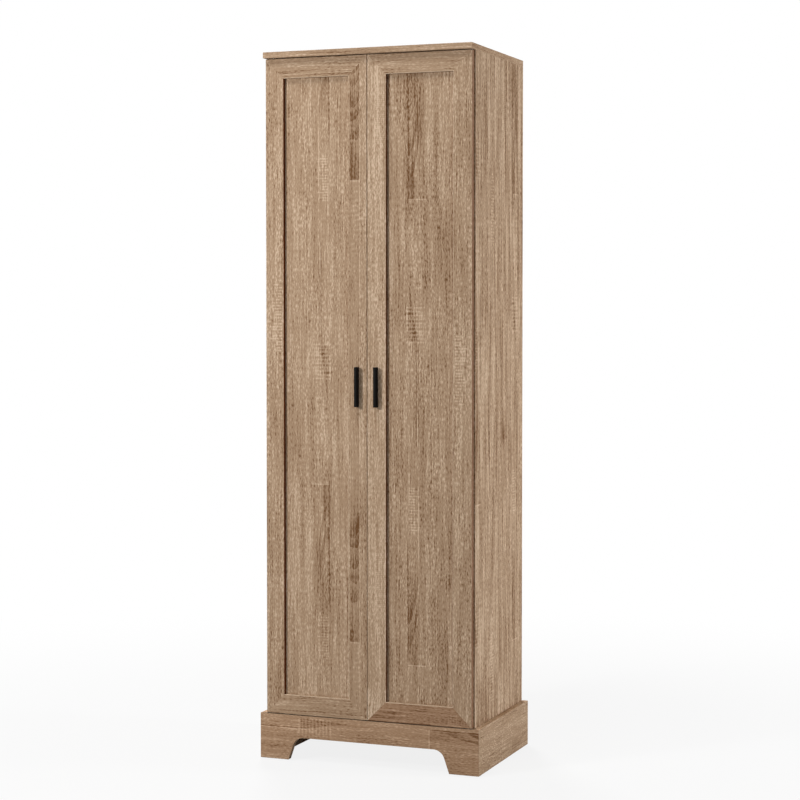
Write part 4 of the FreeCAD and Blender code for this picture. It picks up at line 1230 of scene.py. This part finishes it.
# %% Turn shapes from rings
def plus_radius(angles, arm, half_width):
    """How far the outline of a plus lies from its middle, at each angle.

    In one eighth of a turn the outline is the end of an arm, a straight line at the arm's length,
    while the angle is small, and then the arm's side, a line at half its width.
    """
    folded = np.abs((angles + math.pi / 4) % (math.pi / 2) - math.pi / 4)
    end = arm / np.cos(folded)
    side = half_width / np.maximum(np.sin(folded), 1e-6)
    return np.minimum(end, side)


def ring_angles(count, arm=1.0, half_width=None):
    """Even angles round the circle, with the corners of a plus among them if there is one."""
    angles = np.linspace(0, 2 * math.pi, count, endpoint=False)
    if half_width is not None:
        tip = math.atan2(half_width, arm)
        quarter = np.arange(4) * math.pi / 2
        corners = np.concatenate([quarter + tip, quarter - tip, quarter + math.pi / 4])
        angles = np.unique(np.round(np.concatenate([angles, corners % (2 * math.pi)]), 5))
    return angles


def turned(name, node, material, profile, angles, towards=None):
    """One mesh with a turned shape at each solid of a node.

    The profile is called with the solid's length and radius and gives rings from foot to head, each a
    height and a radius, which is one number or one for each angle. A corner is the foot, plus radius
    times the cosine and sine of the angle along the first two directions, plus height along the axis.
    """
    shapes = []
    for spots in solids_of(node):
        foot, length, radius, (right, back, up) = axis_of(spots, towards)
        rings = []
        for height, ring_radius in profile(length, radius):
            reach = np.broadcast_to(ring_radius, angles.shape)
            flat = reach[:, None] * (np.cos(angles)[:, None] * right + np.sin(angles)[:, None] * back)
            rings.append(foot + flat + height * up)
        shapes.append(closed_stack(rings))
    shown(name, smooth_mesh(name, joined(shapes), material), node)


print("hinge pins to turn:", len(solids_of("hinge_pins")))


# %% [markdown]
# ## Screws and cams
# A cross-recess screw has a low domed head with a plus sunk into it, a shank and a point. A cam lock is
# a die-cast disc with a plus that takes the same screwdriver, and a rim that is chamfered to start
# into its hole. The cam bolts and dowels stay hidden in the joints.

# %% Drive the screws and set the cams
CROSS_ARM, CROSS_HALF_WIDTH, CROSS_DEPTH = 0.56, 0.15, 0.6
SCREW_ANGLES = ring_angles(24, CROSS_ARM, CROSS_HALF_WIDTH)
SCREW_HEAD = 2.0 * MM
SHANK_SHARE = 0.5
POINT_LENGTH = 4.0 * MM
CAM_CHAMFER, CAM_STEP, CAM_RECESS = 0.5 * MM, 0.4 * MM, 4.0 * MM


def screw_profile(length, radius):
    """A pointed shank, the flat underside of the head, its dome, and the plus sunk into the top."""
    shank, under = radius * SHANK_SHARE, length - SCREW_HEAD
    plus = plus_radius(SCREW_ANGLES, CROSS_ARM, CROSS_HALF_WIDTH) * radius
    return [
        (0.0, shank * 0.08),
        (POINT_LENGTH * 0.6, shank * 0.75),
        (POINT_LENGTH, shank),
        (under, shank),
        (under, radius * 0.97),
        (under + SCREW_HEAD * 0.15, radius),
        (under + SCREW_HEAD * 0.50, radius * 0.96),
        (under + SCREW_HEAD * 0.80, radius * 0.84),
        (under + SCREW_HEAD * 0.97, radius * 0.66),
        (length, plus),
        (length - SCREW_HEAD * CROSS_DEPTH, plus * 0.78),
    ]


def cam_profile(length, radius):
    """A disc with a chamfered rim at both ends and a plus sunk into the face that shows."""
    plus = plus_radius(SCREW_ANGLES, CROSS_ARM, CROSS_HALF_WIDTH) * radius
    return [
        (0.0, radius - CAM_CHAMFER),
        (CAM_CHAMFER, radius),
        (length - CAM_CHAMFER, radius),
        (length, radius - CAM_CHAMFER),
        (length, radius * 0.84),
        (length - CAM_STEP, radius * 0.82),
        (length - CAM_STEP, plus * 1.1),
        (length - CAM_RECESS, plus * 0.95),
    ]


def into_the_cabinet(middle):
    """Sideways to the middle of the cabinet, or down, for fittings that are worked from inside."""
    return (-np.sign(middle[0]), 0.0, -1.0)


SCREW_NODES = ["base_screws", "frame_leaf_screws", "wall_bracket_screws", "catch_screws"]
for side in SIDES:
    SCREW_NODES += [side + "_" + name for name in ("door_leaf_screws", "handle_screws", "strike_screw")]
for node in SCREW_NODES:
    turned(node + "_cross_headed", node, zinc, screw_profile, SCREW_ANGLES)
turned("cam_lock_discs", "cam_locks", zinc, cam_profile, SCREW_ANGLES, into_the_cabinet)
print(len(SCREW_NODES), "nodes of screws, and the cams")

# %% [markdown]
# ## Pins, nails, glides and bumpers
# The shelf pins have a collar that stops them at the side panel. The hinge pins are rounded at both
# ends to find their holes. The nails have flat heads, and there are many, so each has few faces. A
# glide is a moulded foot with a nail in it, and a bumper is a soft clear dome.

# %% Turn the small round pieces
PIN_ANGLES = ring_angles(24)
NAIL_ANGLES = ring_angles(10)
PIN_COLLAR = (10.0 * MM, 11.2 * MM)
PIN_RADIUS, PIN_ROUND, COLLAR_ROUND = 2.5 * MM, 0.7 * MM, 0.3 * MM
HINGE_PIN_ROUND = 0.5 * MM
NAIL_RADIUS, NAIL_POINT, NAIL_HEAD = 0.9 * MM, 2.0 * MM, 0.8 * MM
GLIDE_THICK = 2.0 * MM


def shelf_pin_profile(length, radius):
    """A rounded pin, a collar where it meets the side panel, and a rounded end under the shelf."""
    foot = [
        (0.0, PIN_RADIUS - PIN_ROUND),
        (0.3 * PIN_ROUND, PIN_RADIUS - 0.3 * PIN_ROUND),
        (PIN_ROUND, PIN_RADIUS),
    ]
    collar = [
        (PIN_COLLAR[0], PIN_RADIUS),
        (PIN_COLLAR[0], radius),
        (PIN_COLLAR[1] - COLLAR_ROUND, radius),
        (PIN_COLLAR[1], radius - COLLAR_ROUND),
        (PIN_COLLAR[1], PIN_RADIUS),
    ]
    return foot + collar + [(length - height, reach) for height, reach in reversed(foot)]


def rounded_pin_profile(length, radius):
    """A plain pin whose ends are rounded over."""
    roll, ends = np.linspace(0, math.pi / 2, 4), HINGE_PIN_ROUND
    foot = [(ends * (1 - math.cos(angle)), radius - ends * (1 - math.sin(angle))) for angle in roll]
    return foot + [(length - height, reach) for height, reach in reversed(foot)]


def nail_profile(length, radius):
    """A thin shank with a point and a flat head with a slight dome."""
    return [
        (0.0, NAIL_RADIUS * 0.1),
        (NAIL_POINT, NAIL_RADIUS),
        (length - NAIL_HEAD, NAIL_RADIUS),
        (length - NAIL_HEAD * 0.9, radius),
        (length - NAIL_HEAD * 0.3, radius * 0.97),
        (length, radius * 0.7),
    ]


def glide_profile(length, radius):
    """A nail, and a foot whose rim is rounded so that it slides over the edge of a carpet."""
    return [
        (0.0, NAIL_RADIUS * 0.2),
        (NAIL_POINT, NAIL_RADIUS),
        (length - GLIDE_THICK, NAIL_RADIUS),
        (length - GLIDE_THICK, radius * 0.96),
        (length - GLIDE_THICK * 0.7, radius),
        (length - GLIDE_THICK * 0.3, radius * 0.95),
        (length, radius * 0.80),
    ]


def dome_profile(length, radius):
    """A flat foot and a quarter circle that closes to a small flat top."""
    roll = np.linspace(0, math.pi / 2 * 0.9, 7)
    rise = length / math.sin(roll[-1])
    return [(0.0, radius * 0.98)] + [(rise * math.sin(a), radius * math.cos(a)) for a in roll]


turned("shelf_pins_turned", "shelf_pins", zinc, shelf_pin_profile, PIN_ANGLES, into_the_cabinet)
turned("hinge_pins_turned", "hinge_pins", zinc, rounded_pin_profile, PIN_ANGLES)
turned("back_panel_nail_heads", "back_panel_nails", zinc, nail_profile, NAIL_ANGLES)
turned("foot_glide_domes", "foot_glides", black_moulding, glide_profile, PIN_ANGLES)
for side in SIDES:
    node = side + "_door_bumper"
    turned(node + "_dome", node, clear_rubber, dome_profile, PIN_ANGLES, lambda middle: (0.0, 1.0, 0.0))
print("pins, nails, glides and bumpers")

# %% [markdown]
# ## Pressed steel and moulded parts
# Hinge leaves, strike plates, the wall bracket, washers and catch housings keep the shapes of their
# solids, with every hole, and get the small round that a press or a mould leaves on each edge. In the
# front of each catch a magnet sits between two steel plates, which stand a little proud of the
# housing and meet the strike plate.

# %% Round the pressed and moulded parts
PRESSED = [
    (side + "_" + name, zinc, 0.25)
    for name in ("frame_hinge_leaves", "door_hinge_leaves", "strike_plate")
    for side in SIDES
]
PRESSED += [
    ("wall_bracket", zinc, 0.30),
    ("hinge_washers", black_moulding, 0.15),
    ("base_corner_blocks", pine, 0.60),
]
for node, material, width in PRESSED:
    shown(node + "_eased", finished(eased(node, width * MM, 2, 0.0), material), node)
print(len(PRESSED), "pressed, moulded or sawn nodes")

# %% Build the magnetic catches
HOUSING_BACK_STEP = 1.0 * MM
HOUSING_ROUND = 1.2 * MM
POLE_HALF_WIDE = 12.0 * MM
POLE_THICK = 1.4 * MM
POLE_LONG = 14.0 * MM
MAGNET_HIGH = 4.6 * MM
MAGNET_BEHIND = 0.4 * MM
MAGNET_NARROWER = 0.5 * MM
POLE_ROUND, MAGNET_ROUND = 0.3 * MM, 0.4 * MM
BALL_STEPS = 5


def drawn_apart_ball(low, high, radius):
    """A block with round edges: a small ball cut in eight, its parts drawn to the block's corners.

    A corner is the middle, plus half the size less the radius on the side that it faces, plus the
    radius times its direction on the ball.
    """
    turn = np.concatenate([np.linspace(q, q + 1, BALL_STEPS) for q in range(4)]) * math.pi / 2
    side_x = np.repeat([1, -1, -1, 1], BALL_STEPS)
    side_y = np.repeat([1, 1, -1, -1], BALL_STEPS)
    rise = np.concatenate([np.linspace(-1, 0, BALL_STEPS), np.linspace(0, 1, BALL_STEPS)]) * math.pi / 2
    side_z = np.repeat([-1, 1], BALL_STEPS)
    core = (high - low) / 2 - radius
    rings = []
    for angle, z_side in zip(rise, side_z):
        x = side_x * core[0] + radius * math.cos(angle) * np.cos(turn)
        y = side_y * core[1] + radius * math.cos(angle) * np.sin(turn)
        z = np.full(len(turn), z_side * core[2] + radius * math.sin(angle))
        rings.append((low + high) / 2 + np.stack([x, y, z], axis=1))
    return closed_stack(rings)


for side in SIDES:
    node = side + "_magnetic_catch"
    low, high = (np.array(corner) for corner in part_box(node))
    housing = eased(node, HOUSING_ROUND, 3, 0.1)
    spots = numbers(housing.vertices, "co")
    front = spots[:, 1] < low[1] + HOUSING_ROUND * 1.2
    spots[front, 1] += HOUSING_BACK_STEP
    housing.vertices.foreach_set("co", spots.ravel())
    shown(side + "_catch_housing", finished(housing, white_moulding), node)
    middle = (low + high) / 2
    poles = []
    for row in (-1, 1):
        z = middle[2] + row * (MAGNET_HIGH + POLE_THICK) / 2
        pole_low = np.array([middle[0] - POLE_HALF_WIDE, low[1], z - POLE_THICK / 2])
        pole_high = np.array([middle[0] + POLE_HALF_WIDE, low[1] + POLE_LONG, z + POLE_THICK / 2])
        poles.append(drawn_apart_ball(pole_low, pole_high, POLE_ROUND))
    name = side + "_catch_poles"
    shown(name, smooth_mesh(name, joined(poles), zinc), node)
    reach = np.array([POLE_HALF_WIDE - MAGNET_NARROWER, (POLE_LONG - MAGNET_BEHIND) / 2, MAGNET_HIGH / 2])
    heart = np.array([middle[0], low[1] + (POLE_LONG + MAGNET_BEHIND) / 2, middle[2]])
    magnet = drawn_apart_ball(heart - reach, heart + reach, MAGNET_ROUND)
    shown(side + "_catch_magnet", smooth_mesh(side + "_catch_magnet", magnet, ferrite), node)
print("2 catches: housing, poles and magnet each")

# %% [markdown]
# ## What hides in the joints
# Dowels and cam bolts are seen only when the cabinet is taken apart. Their solids are already right,
# so they keep them and get a finish.

# %% Finish the hidden pieces
def finish(node, material):
    """Give every material slot of a node's own solid the same finish."""
    for slot in frame["nodes"][node].material_slots:
        slot.material = material


for node in ("carcass_dowels", "left_door_mitre_dowels", "right_door_mitre_dowels"):
    finish(node, beech)
finish("cam_bolts", zinc)
print("dowels and bolts finished")
